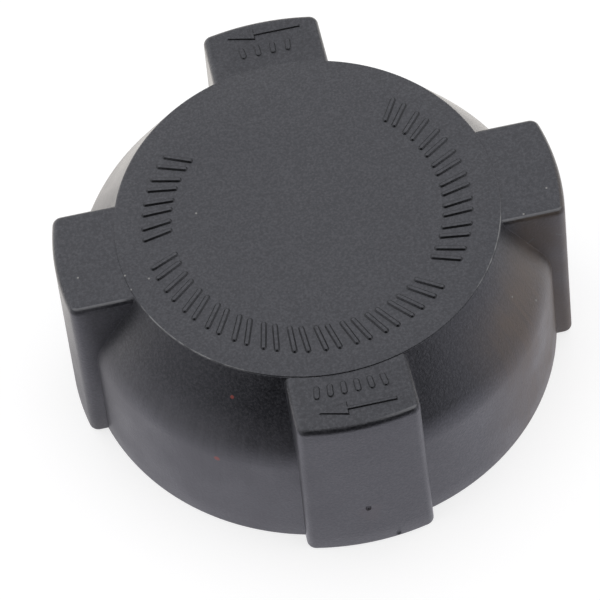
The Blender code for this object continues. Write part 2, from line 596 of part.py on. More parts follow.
def coil_spring(name, radius, wire_radius, bottom, top, turns, sides, finish):
    """Round wire on a helix. The last half turn at each end lies close, as a closed end does."""
    steps = round(turns * SPRING_STEPS)
    middles = [turns * (i + 0.5) / steps for i in range(steps)]
    openness = [min(1.0, max(0.0, min(turn, turns - turn) - 0.5) * 2) for turn in middles]
    end_climb = END_COIL_PITCH * 2 * wire_radius * turns / steps
    full_rise = top - bottom - 2 * wire_radius
    extra = (full_rise - end_climb * steps) / sum(openness)
    curve = bpy.data.curves.new(name, "CURVE")
    curve.dimensions = "3D"
    curve.bevel_depth = wire_radius
    curve.bevel_resolution = sides // 2 - 2
    curve.use_fill_caps = True
    spline = curve.splines.new("POLY")
    spline.points.add(steps)
    height = bottom + wire_radius
    for i in range(steps + 1):
        angle = math.tau * turns * i / steps
        spline.points[i].co = (radius * math.cos(angle), radius * math.sin(angle), height, 1.0)
        if i < steps:
            height += end_climb + extra * openness[i]
    made = bpy.data.objects.new(name, curve)
    bpy.context.scene.collection.objects.link(made)
    curve.materials.append(finish)
    return made


def vacuum_poppet(finish):
    """Head with a raised lip that meets the seal from below, and a stem grooved for its clip."""
    base = POPPET_TOP - POPPET_LIP_HEIGHT
    bottom = base - POPPET_THICKNESS
    lip_outer = POPPET_RADIUS - POPPET_LIP_SLOPE
    lip_inner = lip_outer - POPPET_LIP_WIDTH
    groove_radius = STEM_RADIUS - GROOVE_DEPTH
    groove_bottom = CLIP_BOTTOM - SEAT_GAP
    groove_top = CLIP_BOTTOM + CLIP_THICKNESS + SEAT_GAP
    tip = groove_top + STEM_TIP
    loop = [
        (0.0, bottom), (POPPET_RADIUS, bottom), (POPPET_RADIUS, base), (lip_outer, POPPET_TOP),
        (lip_inner, POPPET_TOP), (lip_inner - POPPET_LIP_SLOPE, base), (STEM_RADIUS, base),
        (STEM_RADIUS, groove_bottom), (groove_radius, groove_bottom), (groove_radius, groove_top),
        (STEM_RADIUS, groove_top), (STEM_RADIUS, tip - STEM_TIP_CHAMFER),
        (STEM_RADIUS - STEM_TIP_CHAMFER, tip), (0.0, tip),
    ]
    return turned("vacuum_poppet", loop, STEM_SEGMENTS, finish)


def vacuum_clip(finish):
    """Open spring-steel ring that snaps into the stem's groove."""
    inner = STEM_RADIUS - GROOVE_DEPTH + SEAT_GAP
    section = [(inner, CLIP_BOTTOM), (CLIP_RADIUS, CLIP_BOTTOM),
               (CLIP_RADIUS, CLIP_BOTTOM + CLIP_THICKNESS), (inner, CLIP_BOTTOM + CLIP_THICKNESS)]
    rings = []
    for i in range(STEM_SEGMENTS // 2 + 1):
        angle = math.radians(CLIP_MOUTH / 2 + (360.0 - CLIP_MOUTH) * i / (STEM_SEGMENTS // 2))
        rings.append([(r * math.cos(angle), r * math.sin(angle), z) for r, z in section])
    return lofted("vacuum_clip", rings, finish)


def clear_scene():
    for old in list(bpy.data.objects):
        bpy.data.objects.remove(old)


def main():
    clear_scene()
    black_plastic = material("black_plastic", (0.055, 0.057, 0.063), 0.55, 0.0)
    valve_plastic = material("valve_plastic", (0.62, 0.60, 0.54), 0.45, 0.0)
    rubber = material("seal_rubber", (0.018, 0.018, 0.019), 0.75, 0.0)
    spring_steel = material("spring_steel", (0.56, 0.56, 0.55), 0.28, 1.0)
    brass = material("brass", (0.72, 0.53, 0.24), 0.32, 1.0)

    grip_shell(black_plastic)
    flat_ring("slip_washer", SLIP_WASHER_INNER, SLIP_WASHER_OUTER,
              SLIP_WASHER_TOP - SLIP_WASHER_THICKNESS, SLIP_WASHER_TOP, INSERT_SEGMENTS, valve_plastic)

    valve_housing(black_plastic)
    neck_gasket(rubber)
    neck_o_ring(rubber)
    valve_seat_ring(black_plastic)
    flat_ring("spring_washer", SPRING_BOSS_RADIUS + SEAT_GAP, BARREL_BORE_RADIUS - GUIDE_GAP,
              SPRING_WASHER_TOP - SPRING_WASHER_THICKNESS, SPRING_WASHER_TOP, VALVE_SEGMENTS, spring_steel)
    coil_spring("main_spring", SPRING_RADIUS, SPRING_WIRE_RADIUS, SPRING_BOTTOM, SPRING_TOP,
                SPRING_TURNS, 8, spring_steel)

    pressure_piston(valve_plastic)
    flat_ring("pressure_seal", SEAL_BORE_RADIUS, SEAL_RADIUS, SEAL_BOTTOM, SEAL_TOP,
              VALVE_SEGMENTS, rubber)
    coil_spring("vacuum_spring", SMALL_SPRING_RADIUS, SMALL_SPRING_WIRE_RADIUS,
                SMALL_SPRING_BOTTOM, SMALL_SPRING_TOP, SMALL_SPRING_TURNS, 6, spring_steel)

    vacuum_poppet(brass)
    vacuum_clip(spring_steel)


main()
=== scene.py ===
import math

import bmesh
import bpy
from mathutils import Matrix, Vector


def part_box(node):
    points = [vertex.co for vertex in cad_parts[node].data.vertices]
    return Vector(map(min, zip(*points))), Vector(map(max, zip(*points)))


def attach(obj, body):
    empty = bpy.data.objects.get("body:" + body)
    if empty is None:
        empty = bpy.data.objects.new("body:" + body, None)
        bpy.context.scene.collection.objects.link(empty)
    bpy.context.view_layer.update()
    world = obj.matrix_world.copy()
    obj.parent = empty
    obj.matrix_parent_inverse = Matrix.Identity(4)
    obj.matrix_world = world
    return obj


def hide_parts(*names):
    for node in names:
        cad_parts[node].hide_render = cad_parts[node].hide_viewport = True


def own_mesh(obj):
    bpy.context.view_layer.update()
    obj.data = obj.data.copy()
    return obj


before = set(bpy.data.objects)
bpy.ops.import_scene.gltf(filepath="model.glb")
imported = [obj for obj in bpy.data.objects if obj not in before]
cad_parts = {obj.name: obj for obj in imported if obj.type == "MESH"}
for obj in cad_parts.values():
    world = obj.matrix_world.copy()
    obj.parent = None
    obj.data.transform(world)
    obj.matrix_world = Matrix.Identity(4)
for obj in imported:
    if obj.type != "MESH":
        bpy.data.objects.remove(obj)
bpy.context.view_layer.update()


# Mesh tools shared by the pieces

sharpAngle = math.radians(32.0)     # edges steeper than this stay sharp


def addObject(name, data):
    made = bpy.data.objects.new(name, data)
    bpy.context.scene.collection.objects.link(made)
    return made


def smoothen(made):
    made.data.shade_smooth()
    made.data.set_sharp_from_angle(angle=sharpAngle)


def objectFrom(bm, name):
    bmesh.ops.recalc_face_normals(bm, faces=bm.faces[:])
    mesh = bpy.data.meshes.new(name)
    bm.to_mesh(mesh)
    bm.free()
    made = addObject(name, mesh)
    smoothen(made)
    return made


def skinRings(bm, rings, capped=True):
    loops = [[bm.verts.new(point) for point in ring] for ring in rings]
    for lower, upper in zip(loops, loops[1:]):
        for i in range(len(lower)):
            j = (i + 1) % len(lower)
            bm.faces.new((lower[i], lower[j], upper[j], upper[i]))
    if capped:
        bm.faces.new(loops[0])
        bm.faces.new(loops[-1])


def skinned(name, rings):
    bm = bmesh.new()
    skinRings(bm, rings)
    return objectFrom(bm, name)


def swung(section, turn):
    # a (radius, height) section, turned round the cap's axis
    return [(r * math.cos(turn), r * math.sin(turn), z) for r, z in section]


def turnedSolid(name, profile, segments):
    # a closed (radius, height) profile, spun round the cap's axis
    bm = bmesh.new()
    ring = [bm.verts.new((radius, 0.0, height)) for radius, height in profile]
    edges = [bm.edges.new((a, b)) for a, b in zip(ring, ring[1:])]
    if profile[0][0] > 0.0 or profile[-1][0] > 0.0:
        edges.append(bm.edges.new((ring[-1], ring[0])))
    bmesh.ops.spin(bm, geom=ring + edges, cent=(0, 0, 0), axis=(0, 0, 1), dvec=(0, 0, 0),
                   angle=math.tau, steps=segments, use_merge=True, use_duplicate=False)
    bmesh.ops.remove_doubles(bm, verts=bm.verts[:], dist=1e-7)
    return objectFrom(bm, name)


def carve(target, cutters):
    # cutters: (object, "DIFFERENCE" or "UNION"), applied in turn and then thrown away
    for cutter, operation in cutters:
        modifier = target.modifiers.new(cutter.name, "BOOLEAN")
        modifier.operation = operation
        modifier.solver = "MANIFOLD"
        modifier.object = cutter
    bpy.context.view_layer.update()
    shaped = bpy.data.meshes.new_from_object(
        target.evaluated_get(bpy.context.evaluated_depsgraph_get()))
    target.modifiers.clear()
    target.data = shaped
    for cutter, operation in cutters:
        bpy.data.objects.remove(cutter)
    smoothen(target)


def arc(centre, radius, start, end, steps, skipFirst=False):
    angles = [start + (end - start) * i / steps for i in range(1 if skipFirst else 0, steps + 1)]
    return [(centre[0] + radius * math.cos(a), centre[1] + radius * math.sin(a)) for a in angles]


def fillet(before, corner, after, radius, steps):
    before, corner, after = Vector(before), Vector(corner), Vector(after)
    into = (before - corner).normalized()
    out = (after - corner).normalized()
    half = into.angle(out) / 2
    centre = corner + (into + out).normalized() * radius / math.sin(half)
    first = corner + into * radius / math.tan(half) - centre
    last = corner + out * radius / math.tan(half) - centre
    turn = first.angle_signed(last)
    return [tuple(centre + Matrix.Rotation(-turn * i / steps, 2) @ first) for i in range(steps + 1)]


def slope(degrees):
    return math.tan(math.radians(degrees))


# Node tools shared by the finishes

def addNode(tree, kind, **settings):
    node = tree.nodes.new("ShaderNode" + kind)
    for name, value in settings.items():
        node.inputs[name].default_value = value
    return node


def feed(value, node, socket):
    # a number or colour is set on the socket, and another node's output is linked to it
    if hasattr(value, "id_data"):
        node.id_data.links.new(value, node.inputs[socket])
    else:
        node.inputs[socket].default_value = value


def newFinish(name):
    finish = bpy.data.materials.new(name)
    finish.use_nodes = True
    tree = finish.node_tree
    return finish, tree, tree.nodes["Principled BSDF"], addNode(tree, "TexCoord").outputs["Object"]


def noise(place, scale, detail=2.0, roughness=0.5):
    node = addNode(place.id_data, "TexNoise", Scale=scale, Detail=detail, Roughness=roughness)
    feed(place, node, "Vector")
    return node.outputs["Fac"]


def spread(value, fromLow, fromHigh, toLow=0.0, toHigh=1.0):
    # carries a value from one span to another, eased at both ends
    node = addNode(value.id_data, "MapRange", **{
        "From Min": fromLow, "From Max": fromHigh, "To Min": toLow, "To Max": toHigh})
    node.interpolation_type = "SMOOTHSTEP"
    feed(value, node, "Value")
    return node.outputs["Result"]


def maths(operation, first, *others):
    # the first value is another node's output
    node = addNode(first.id_data, "Math")
    node.operation = operation
    for socket, value in enumerate((first, *others)):
        feed(value, node, socket)
    return node.outputs["Value"]


def merged(operation, values):
    result = values[0]
    for value in values[1:]:
        result = maths(operation, result, value)
    return result


def product(*values):
    return merged("MULTIPLY", values)


def vectorMaths(operation, vector, *fixed):
    node = addNode(vector.id_data, "VectorMath")
    node.operation = operation
    for socket, value in enumerate((vector, *fixed)):
        feed(value, node, socket)
    return node.outputs["Value"]


def axes(vector):
    node = addNode(vector.id_data, "SeparateXYZ")
    feed(vector, node, "Vector")
    return node.outputs


def mixed(share, first, second):
    # share 0 gives the first colour, 1 the second
    node = addNode(share.id_data, "Mix")
    node.data_type = "RGBA"
    feed(share, node, "Factor")
    for socket, colour in ((6, first), (7, second)):
        feed((*colour, 1.0) if isinstance(colour, tuple) else colour, node, socket)
    return node.outputs[2]


def bump(shader, height, depth):
    node = addNode(shader.id_data, "Bump", Distance=depth)
    feed(height, node, "Height")
    feed(node.outputs["Normal"], shader, "Normal")


# The camera stands where the photo was taken from, about 45 cm away.
camera = {
    "azimuth": -5.405,          # degrees round from straight in front
    "elevation": 55.795,
    "roll": -7.341,
    "distance": 0.44569,
    "lens": 182.468,            # mm
    "sensor": 36.0,
    "aimHeight": 0.01505,
    "aimRight": -0.002535,
    "aimUp": -0.003582,
}


def placeCamera():
    azimuth, elevation, roll = (math.radians(camera[k]) for k in ("azimuth", "elevation", "roll"))
    back = Vector((math.sin(azimuth) * math.cos(elevation),
                   -math.cos(azimuth) * math.cos(elevation), math.sin(elevation)))
    right = (-back).cross(Vector((0, 0, 1))).normalized()
    up = back.cross(right)
    aim = Vector((0, 0, camera["aimHeight"])) + right * camera["aimRight"] + up * camera["aimUp"]
    data = bpy.data.cameras.new("photoCamera")
    data.sensor_width = camera["sensor"]
    data.lens = camera["lens"]
    data.clip_start = 0.01
    data.clip_end = 20.0
    made = addObject("photoCamera", data)
    turned = Matrix((right, up, back)).transposed() @ Matrix.Rotation(roll, 3, "Z")
    made.matrix_world = Matrix.Translation(aim + back * camera["distance"]) @ turned.to_4x4()
    bpy.context.scene.camera = made


placeCamera()
print("camera placed")


# Grip shell: the moulded outside, hollow underneath
shellLow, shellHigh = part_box("cap_shell")
grip = {
    "height": shellHigh.z * 1.010,      # a shade taller and narrower than the plain solid
    "lugRadius": shellHigh.x * 0.988,   # at the rim
    "lugHalfWidth": 0.00933,
    "lugFaceDraft": 1.92,       # degrees
    "lugSideDraft": 1.25,
    "lugCorner": 0.0014,
    "lugRoot": 0.00008,
    "lugTopRound": 0.0010,
    "lugTopSteps": 8,
    "lugCount": 4,
    "lugSteps": (8, 7, 5, 16),  # round the face, the corner, the root and the skirt
    "skirtRadius": 0.03543,
    "skirtDraft": 2.3,
    "shoulderSlope": 58.0,
    "shoulderRadius": 0.0090,
    "shoulderSteps": 18,
    "wallSteps": 5,             # below the shoulder
    "coneSteps": 4,             # above it
    "rimRound": 0.00025,
    "rimSteps": 3,
    "discRadius": 0.02763,
    "discStep": 0.00015,        # disc above the lugs' tops
    "discLedge": 0.0001,
    "discRound": 0.0001,
    "wall": 0.0022,
    "topWall": 0.0026,
}
grip["lugTop"] = grip["height"] - grip["discStep"]

underside = {
    "collarRadius": 0.0269,
    "boreRadius": 0.0246,
    "collarRecess": 0.0012,     # collar's lower edge, above the rim
    "collarRound": 0.0003,
    "pocketTip": 0.0012,
    "pocketCorner": 0.0005,
    "ribCount": 12,
    "ribThickness": 0.0014,
    "ribRecess": 0.0030,
    "threadDepth": 0.0012,
    "threadPitch": 0.0040,
    "threadTurns": 2.5,
    "threadStart": 0.0050,
    "threadFoot": 0.0022,
    "threadCrest": 0.0008,
    "threadBlunt": 0.3,         # rounding of the crest's edges, as a share of its half width
    "threadFade": 25.0,         # degrees over which each end runs out
    "hookCount": 6,
    "hookReach": 0.0014,
    "hookHeight": 0.0014,
    "hookTop": 0.0244,
    "hookAngle": 14.0,
    "segments": 144,
    "cutMargin": 0.001,         # how far the cutters reach past the rim
}
underside["rooted"] = grip["topWall"] / 3      # how deep the thread and the hooks stand in the wall


def lugOutline(bodyRadius, lugRadius, halfWidth, corner):
    # circle with four lugs, rounded at their corners and filleted at their roots
    root = grip["lugRoot"]
    cornerV = halfWidth - corner
    cornerU = math.sqrt((lugRadius - corner) ** 2 - cornerV ** 2)
    rootV = halfWidth + root
    rootU = math.sqrt((bodyRadius + root) ** 2 - rootV ** 2)
    cornerAngle = math.atan2(cornerV, cornerU)
    rootAngle = math.atan2(rootV, rootU)
    faceSteps, cornerSteps, rootSteps, bodySteps = grip["lugSteps"]
    half = arc((0, 0), lugRadius, 0.0, cornerAngle, faceSteps)
    half += arc((cornerU, cornerV), corner, cornerAngle, math.pi / 2, cornerSteps, True)
    half += arc((rootU, rootV), root, math.pi * 1.5, math.pi + rootAngle, rootSteps)
    half += arc((0, 0), bodyRadius, rootAngle, math.pi / grip["lugCount"], bodySteps, True)
    sector = [(u, -v) for u, v in reversed(half[1:])][1:] + half
    outline = []
    for lug in range(grip["lugCount"]):
        turn = math.tau * lug / grip["lugCount"]
        cosine, sine = math.cos(turn), math.sin(turn)
        outline += [(u * cosine - v * sine, u * sine + v * cosine) for u, v in sector]
    return outline


def skirtProfile(inset, steps):
    # (radius, height) points up the skirt, round the shoulder and up its cone
    foot = grip["skirtRadius"] - inset
    coneAngle = math.radians(grip["shoulderSlope"])
    head = grip["discRadius"] + grip["discLedge"] - inset / math.sin(coneAngle)
    run = 1.0 / slope(grip["shoulderSlope"])
    cornerHeight = (head + grip["lugTop"] * run - foot) / (run - slope(grip["skirtDraft"]))
    corner = (foot - slope(grip["skirtDraft"]) * cornerHeight, cornerHeight)
    radius = max(grip["shoulderRadius"] - inset, grip["wall"])
    rounded = fillet((foot, 0.0), corner, (head, grip["lugTop"]), radius, steps)
    return [(foot, 0.0)] + rounded + [(head, grip["lugTop"])]


def radiusOn(profile, height):
    for (r0, z0), (r1, z1) in zip(profile, profile[1:]):
        if z0 <= height <= z1:
            return r0 + (r1 - r0) * (height - z0) / (z1 - z0)
    return profile[-1][0]


def lugSizeAt(height):
    return (grip["lugRadius"] - slope(grip["lugFaceDraft"]) * height,
            grip["lugHalfWidth"] - slope(grip["lugSideDraft"]) * height)


def gripBlank():
    profile = skirtProfile(0.0, grip["shoulderSteps"])
    roundFoot = grip["lugTop"] - grip["lugTopRound"]
    shoulderFoot, coneFoot = profile[1][1], profile[-2][1]
    levels = []                 # height, inset of the skirt, of the lugs and of the lugs' corners
    for step in range(grip["rimSteps"] + 1):
        turn = math.pi / 2 * step / grip["rimSteps"]
        inset = grip["rimRound"] * (1 - math.sin(turn))
        levels.append((grip["rimRound"] * (1 - math.cos(turn)), inset, inset, 0.0))
    plain = [shoulderFoot * i / grip["wallSteps"] for i in range(1, grip["wallSteps"])]
    plain += [height for _, height in profile[1:-1]]
    plain += [coneFoot + (roundFoot - coneFoot) * i / grip["coneSteps"]
              for i in range(1, grip["coneSteps"] + 1)]
    levels += [(height, 0.0, 0.0, 0.0) for height in plain]
    for step in range(1, grip["lugTopSteps"] + 1):
        turn = math.pi / 2 * step / grip["lugTopSteps"]
        inset = grip["lugTopRound"] * (1 - math.cos(turn))
        levels.append((roundFoot + grip["lugTopRound"] * math.sin(turn), 0.0, inset, inset))
    rings = []
    for height, skirtInset, lugInset, cornerInset in levels:
        lugRadius, halfWidth = lugSizeAt(height)
        outline = lugOutline(radiusOn(profile, height) - skirtInset, lugRadius - lugInset,
                             halfWidth - lugInset, grip["lugCorner"] - cornerInset)
        rings.append([(x, y, height) for x, y in outline])
    bearings = [math.atan2(y, x) for x, y in outline]
    disc, edge = grip["discRadius"], grip["discRound"]
    step = [(disc, grip["lugTop"]), (disc, grip["height"] - edge)]
    step += arc((disc - edge, grip["height"] - edge), edge, 0.0, math.pi / 2, 3, True)
    for radius, height in step:
        rings.append([(radius * math.cos(b), radius * math.sin(b), height) for b in bearings])
    return skinned("gripShell", rings)


def ringPocket():
    inside = skirtProfile(grip["wall"], 12)
    tipRadius = underside["collarRadius"] + underside["pocketTip"]
    top = inside[-1][1] - (tipRadius - inside[-1][0]) * slope(grip["shoulderSlope"])
    margin = underside["cutMargin"]
    outer = [(inside[0][0] + slope(grip["skirtDraft"]) * margin, -margin)]
    outer += [point for point in inside[1:] if point[1] < top]
    outer.append((radiusOn(inside, top), top))
    loop = [(underside["collarRadius"], -margin)] + outer + [(underside["collarRadius"], top)]
    return turnedSolid("ringPocket", loop, underside["segments"])


def ribBlades():
    bm = bmesh.new()
    inner, outer = underside["boreRadius"], grip["lugRadius"] + underside["cutMargin"]
    size = (outer - inner, underside["ribThickness"], grip["height"] - underside["ribRecess"])
    middle = ((outer + inner) / 2, 0.0, (grip["height"] + underside["ribRecess"]) / 2)
    for i in range(underside["ribCount"]):
        turn = Matrix.Rotation(math.tau * i / underside["ribCount"], 4, "Z")
        place = turn @ Matrix.Translation(middle) @ Matrix.Diagonal((*size, 1.0))
        bmesh.ops.create_cube(bm, size=1.0, matrix=place)
    return objectFrom(bm, "ribBlades")


def lugPockets():
    bm = bmesh.new()
    corner = underside["pocketCorner"]
    heights = (-underside["cutMargin"], grip["lugTop"] - grip["topWall"])
    plans = []
    for height in heights:
        lugRadius, halfWidth = lugSizeAt(height)
        outer, half = lugRadius - grip["wall"], halfWidth - grip["wall"]
        inner = math.sqrt(underside["collarRadius"] ** 2 - half ** 2) - grip["wall"] / 2
        cornerV = half - corner
        cornerU = math.sqrt((outer - corner) ** 2 - cornerV ** 2)
        bearing = math.atan2(cornerV, cornerU)
        side = arc((cornerU, cornerV), corner, bearing, math.pi / 2, 4) + [(inner, half)]
        face = arc((0, 0), outer, -bearing, bearing, 8)[1:-1]
        plans.append([(u, -v) for u, v in reversed(side)] + face + side)
    for lug in range(grip["lugCount"]):
        turn = Matrix.Rotation(math.tau * lug / grip["lugCount"], 3, "Z")
        skinRings(bm, [[turn @ Vector((u, v, z)) for u, v in plan]
                       for plan, z in zip(plans, heights)])
    return objectFrom(bm, "lugPockets")


def collarCore():
    margin = underside["cutMargin"]
    loop = [(0.0, -2 * margin), (underside["collarRadius"], -2 * margin),
            (underside["collarRadius"], grip["height"]), (0.0, grip["height"])]
    return turnedSolid("collarCore", loop, underside["segments"])


def threadedBore():
    margin, bore = underside["cutMargin"], underside["boreRadius"]
    recess, edge = underside["collarRecess"], underside["collarRound"]
    wide = (underside["collarRadius"] + grip["skirtRadius"] - grip["wall"]) / 2
    ceiling = grip["height"] - grip["topWall"]
    loop = [(0.0, -margin), (wide, -margin), (wide, recess), (bore + edge, recess),
            (bore, recess + edge), (bore, ceiling), (0.0, ceiling)]
    return turnedSolid("threadedBore", loop, underside["segments"])


def threadRidge():
    # right-hand thread, rooted in the wall; both ends run out into it
    rooted, fade = underside["rooted"], underside["threadFade"]
    bore, depthFull = underside["boreRadius"], underside["threadDepth"]
    halfFoot = underside["threadFoot"] / 2
    root = bore + rooted
    steps = round(underside["threadTurns"] * underside["segments"])
    sweep = underside["threadTurns"] * 360.0
    rings = []
    for i in range(steps + 1):
        angle = sweep * i / steps
        rise = min(1.0, angle / fade, (sweep - angle) / fade)
        crest = bore - depthFull * rise + (1.0 - rise) * rooted / 2
        middle = underside["threadStart"] + underside["threadPitch"] * angle / 360.0
        share = (root - crest) / (root - bore + depthFull)
        halfCrest = halfFoot + (underside["threadCrest"] / 2 - halfFoot) * share
        blunt = halfCrest * underside["threadBlunt"]
        side = [(root, halfFoot), (crest + blunt, halfCrest), (crest, halfCrest - blunt)]
        section = [(r, middle - z) for r, z in side] + [(r, middle + z) for r, z in reversed(side)]
        rings.append(swung(section, math.radians(angle)))
    return skinned("threadRidge", rings)


def snapHooks():
    bm = bmesh.new()
    wall = underside["boreRadius"] + underside["rooted"]
    tip = underside["boreRadius"] - underside["hookReach"]
    top, height = underside["hookTop"], underside["hookHeight"]
    section = [(wall, top), (tip, top), (tip, top - height / 3), (wall, top - height)]
    steps = 6
    for hook in range(underside["hookCount"]):
        rings = []
        for i in range(steps + 1):
            turn = math.tau * (hook + 0.5) / underside["hookCount"]
            turn += math.radians(underside["hookAngle"]) * (i / steps - 0.5)
            rings.append(swung(section, turn))
        skinRings(bm, rings)
    return objectFrom(bm, "snapHooks")


# Raised marks: pairs of slanted bars round the disc, and a turning arrow and small bars on two lugs
marks = {
    "barCentre": 0.02150,       # radius of the ring of bars
    "barLength": 0.0042,
    "barWidth": 0.00042,        # across the flat top
    "barSlant": 16.0,
    "pairSpread": 4.7,          # degrees round the disc, between the two bars of a pair
    "pairPitch": 10.75,
    "pairRows": ((157.5, 4), (-110.0, 12), (4.5, 8)),   # middle bearing, pairs
    "rise": 0.00025,
    "flank": 0.9,               # how far the sides slope out, for each mm of rise
    "sunk": 0.0006,
    "arrowTip": -0.0049,
    "arrowTail": 0.0057,
    "headLength": 0.0037,
    "headWidth": 0.0018,
    "shaftWidth": 0.00030,
    "arrowRows": (-0.03332, 0.03408),   # front lug, back lug
    "smallBar": (0.00060, 0.0019),
    "smallRows": ((-0.02996, 6, 0.00190), (0.03092, 4, 0.00228)),
    "smallRise": 0.00018,
}


def raisedPlate(bm, place, outline, base, rise):
    # the outline is the top's; the sides slope out to the surface it stands on
    spread = marks["flank"] * rise
    foot = []
    for i, point in enumerate(outline):
        before, after = Vector(outline[i - 1]), Vector(outline[(i + 1) % len(outline)])
        along = [(Vector(point) - before).normalized(), (after - Vector(point)).normalized()]
        out = [Vector((step.y, -step.x)) for step in along]
        mitre = (out[0] + out[1]).normalized()
        foot.append(Vector(point) + mitre * spread / max(0.5, mitre.dot(out[0])))
    rings = []
    for ring, height in ((foot, base - marks["sunk"]), (foot, base), (outline, base + rise)):
        rings.append([(*(place @ Vector((x, y, 1.0))).xy, height) for x, y in ring])
    skinRings(bm, rings)


def planPlace(x, y, turn=0.0):
    cosine, sine = math.cos(turn), math.sin(turn)
    return Matrix(((cosine, -sine, x), (sine, cosine, y), (0, 0, 1)))


def barOutline(width, length, steps=6):
    # a bar with round ends, lying along X
    half = width / 2
    reach = length / 2 - half
    rightEnd = arc((reach, 0), half, -math.pi / 2, math.pi / 2, steps)
    return rightEnd + arc((-reach, 0), half, math.pi / 2, math.pi * 1.5, steps)


def barRing():
    bm = bmesh.new()
    bar = barOutline(marks["barWidth"], marks["barLength"])
    for middle, count in marks["pairRows"]:
        for i in range(count):
            for side in (-0.5, 0.5):
                degrees = middle + (i - (count - 1) / 2) * marks["pairPitch"]
                bearing = math.radians(degrees + side * marks["pairSpread"])
                x, y = (marks["barCentre"] * f(bearing) for f in (math.cos, math.sin))
                place = planPlace(x, y, bearing + math.radians(marks["barSlant"]))
                raisedPlate(bm, place, bar, grip["height"], marks["rise"])
    return objectFrom(bm, "barRing")


def turningArrows():
    bm = bmesh.new()
    neck = marks["arrowTip"] + marks["headLength"]
    head, shaft = marks["headWidth"] / 2, marks["shaftWidth"] / 2
    arrow = [(marks["arrowTip"], 0), (neck, -head), (neck, -shaft), (marks["arrowTail"], -shaft),
             (marks["arrowTail"], shaft), (neck, shaft), (neck, head)]
    for row in marks["arrowRows"]:
        raisedPlate(bm, planPlace(0.0, row), arrow, grip["lugTop"], marks["smallRise"])
    return objectFrom(bm, "turningArrows")


def smallBars():
    bm = bmesh.new()
    width, length = marks["smallBar"]
    bar = barOutline(width, length, steps=4)
    for row, count, pitch in marks["smallRows"]:
        for i in range(count):
            x = (i - (count - 1) / 2) * pitch
            place = planPlace(x, row, math.atan2(row, x))
            raisedPlate(bm, place, bar, grip["lugTop"], marks["smallRise"])
    return objectFrom(bm, "smallBars")


# Damage that the photo shows on the front lug's face
flaws = {                       # along X, above the rim, radius, share of it outside, stretch upwards
    "pit": (-0.0002, 0.0093, 0.00044, 0.25, 1.5),
    "nick": (0.0038, 0.0008, 0.00040, 0.45, 1.3),
}


def dents():
    bm = bmesh.new()
    for x, z, radius, outside, stretch in flaws.values():
        face = lugSizeAt(z)[0]
        y = -math.sqrt(face ** 2 - x ** 2) - radius * outside
        place = Matrix.Translation((x, y, z)) @ Matrix.Diagonal((1.0, 1.0, stretch, 1.0))
        bmesh.ops.create_uvsphere(bm, u_segments=20, v_segments=12, radius=radius, matrix=place)
    return objectFrom(bm, "dents")


def gripShell(material):
    shell = gripBlank()
    ring, lugs = ringPocket(), lugPockets()
    carve(lugs, [(collarCore(), "DIFFERENCE"), (ribBlades(), "DIFFERENCE")])
    carve(ring, [(ribBlades(), "DIFFERENCE")])
    carve(shell, [(ring, "DIFFERENCE"), (lugs, "DIFFERENCE"), (threadedBore(), "DIFFERENCE"),
                  (threadRidge(), "UNION"), (snapHooks(), "UNION"), (barRing(), "UNION"),
                  (turningArrows(), "UNION"), (smallBars(), "UNION"), (dents(), "DIFFERENCE")])
    shell.data.materials.clear()
    shell.data.materials.append(material)
    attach(shell, "shell")
    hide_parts("cap_shell")
    return shell


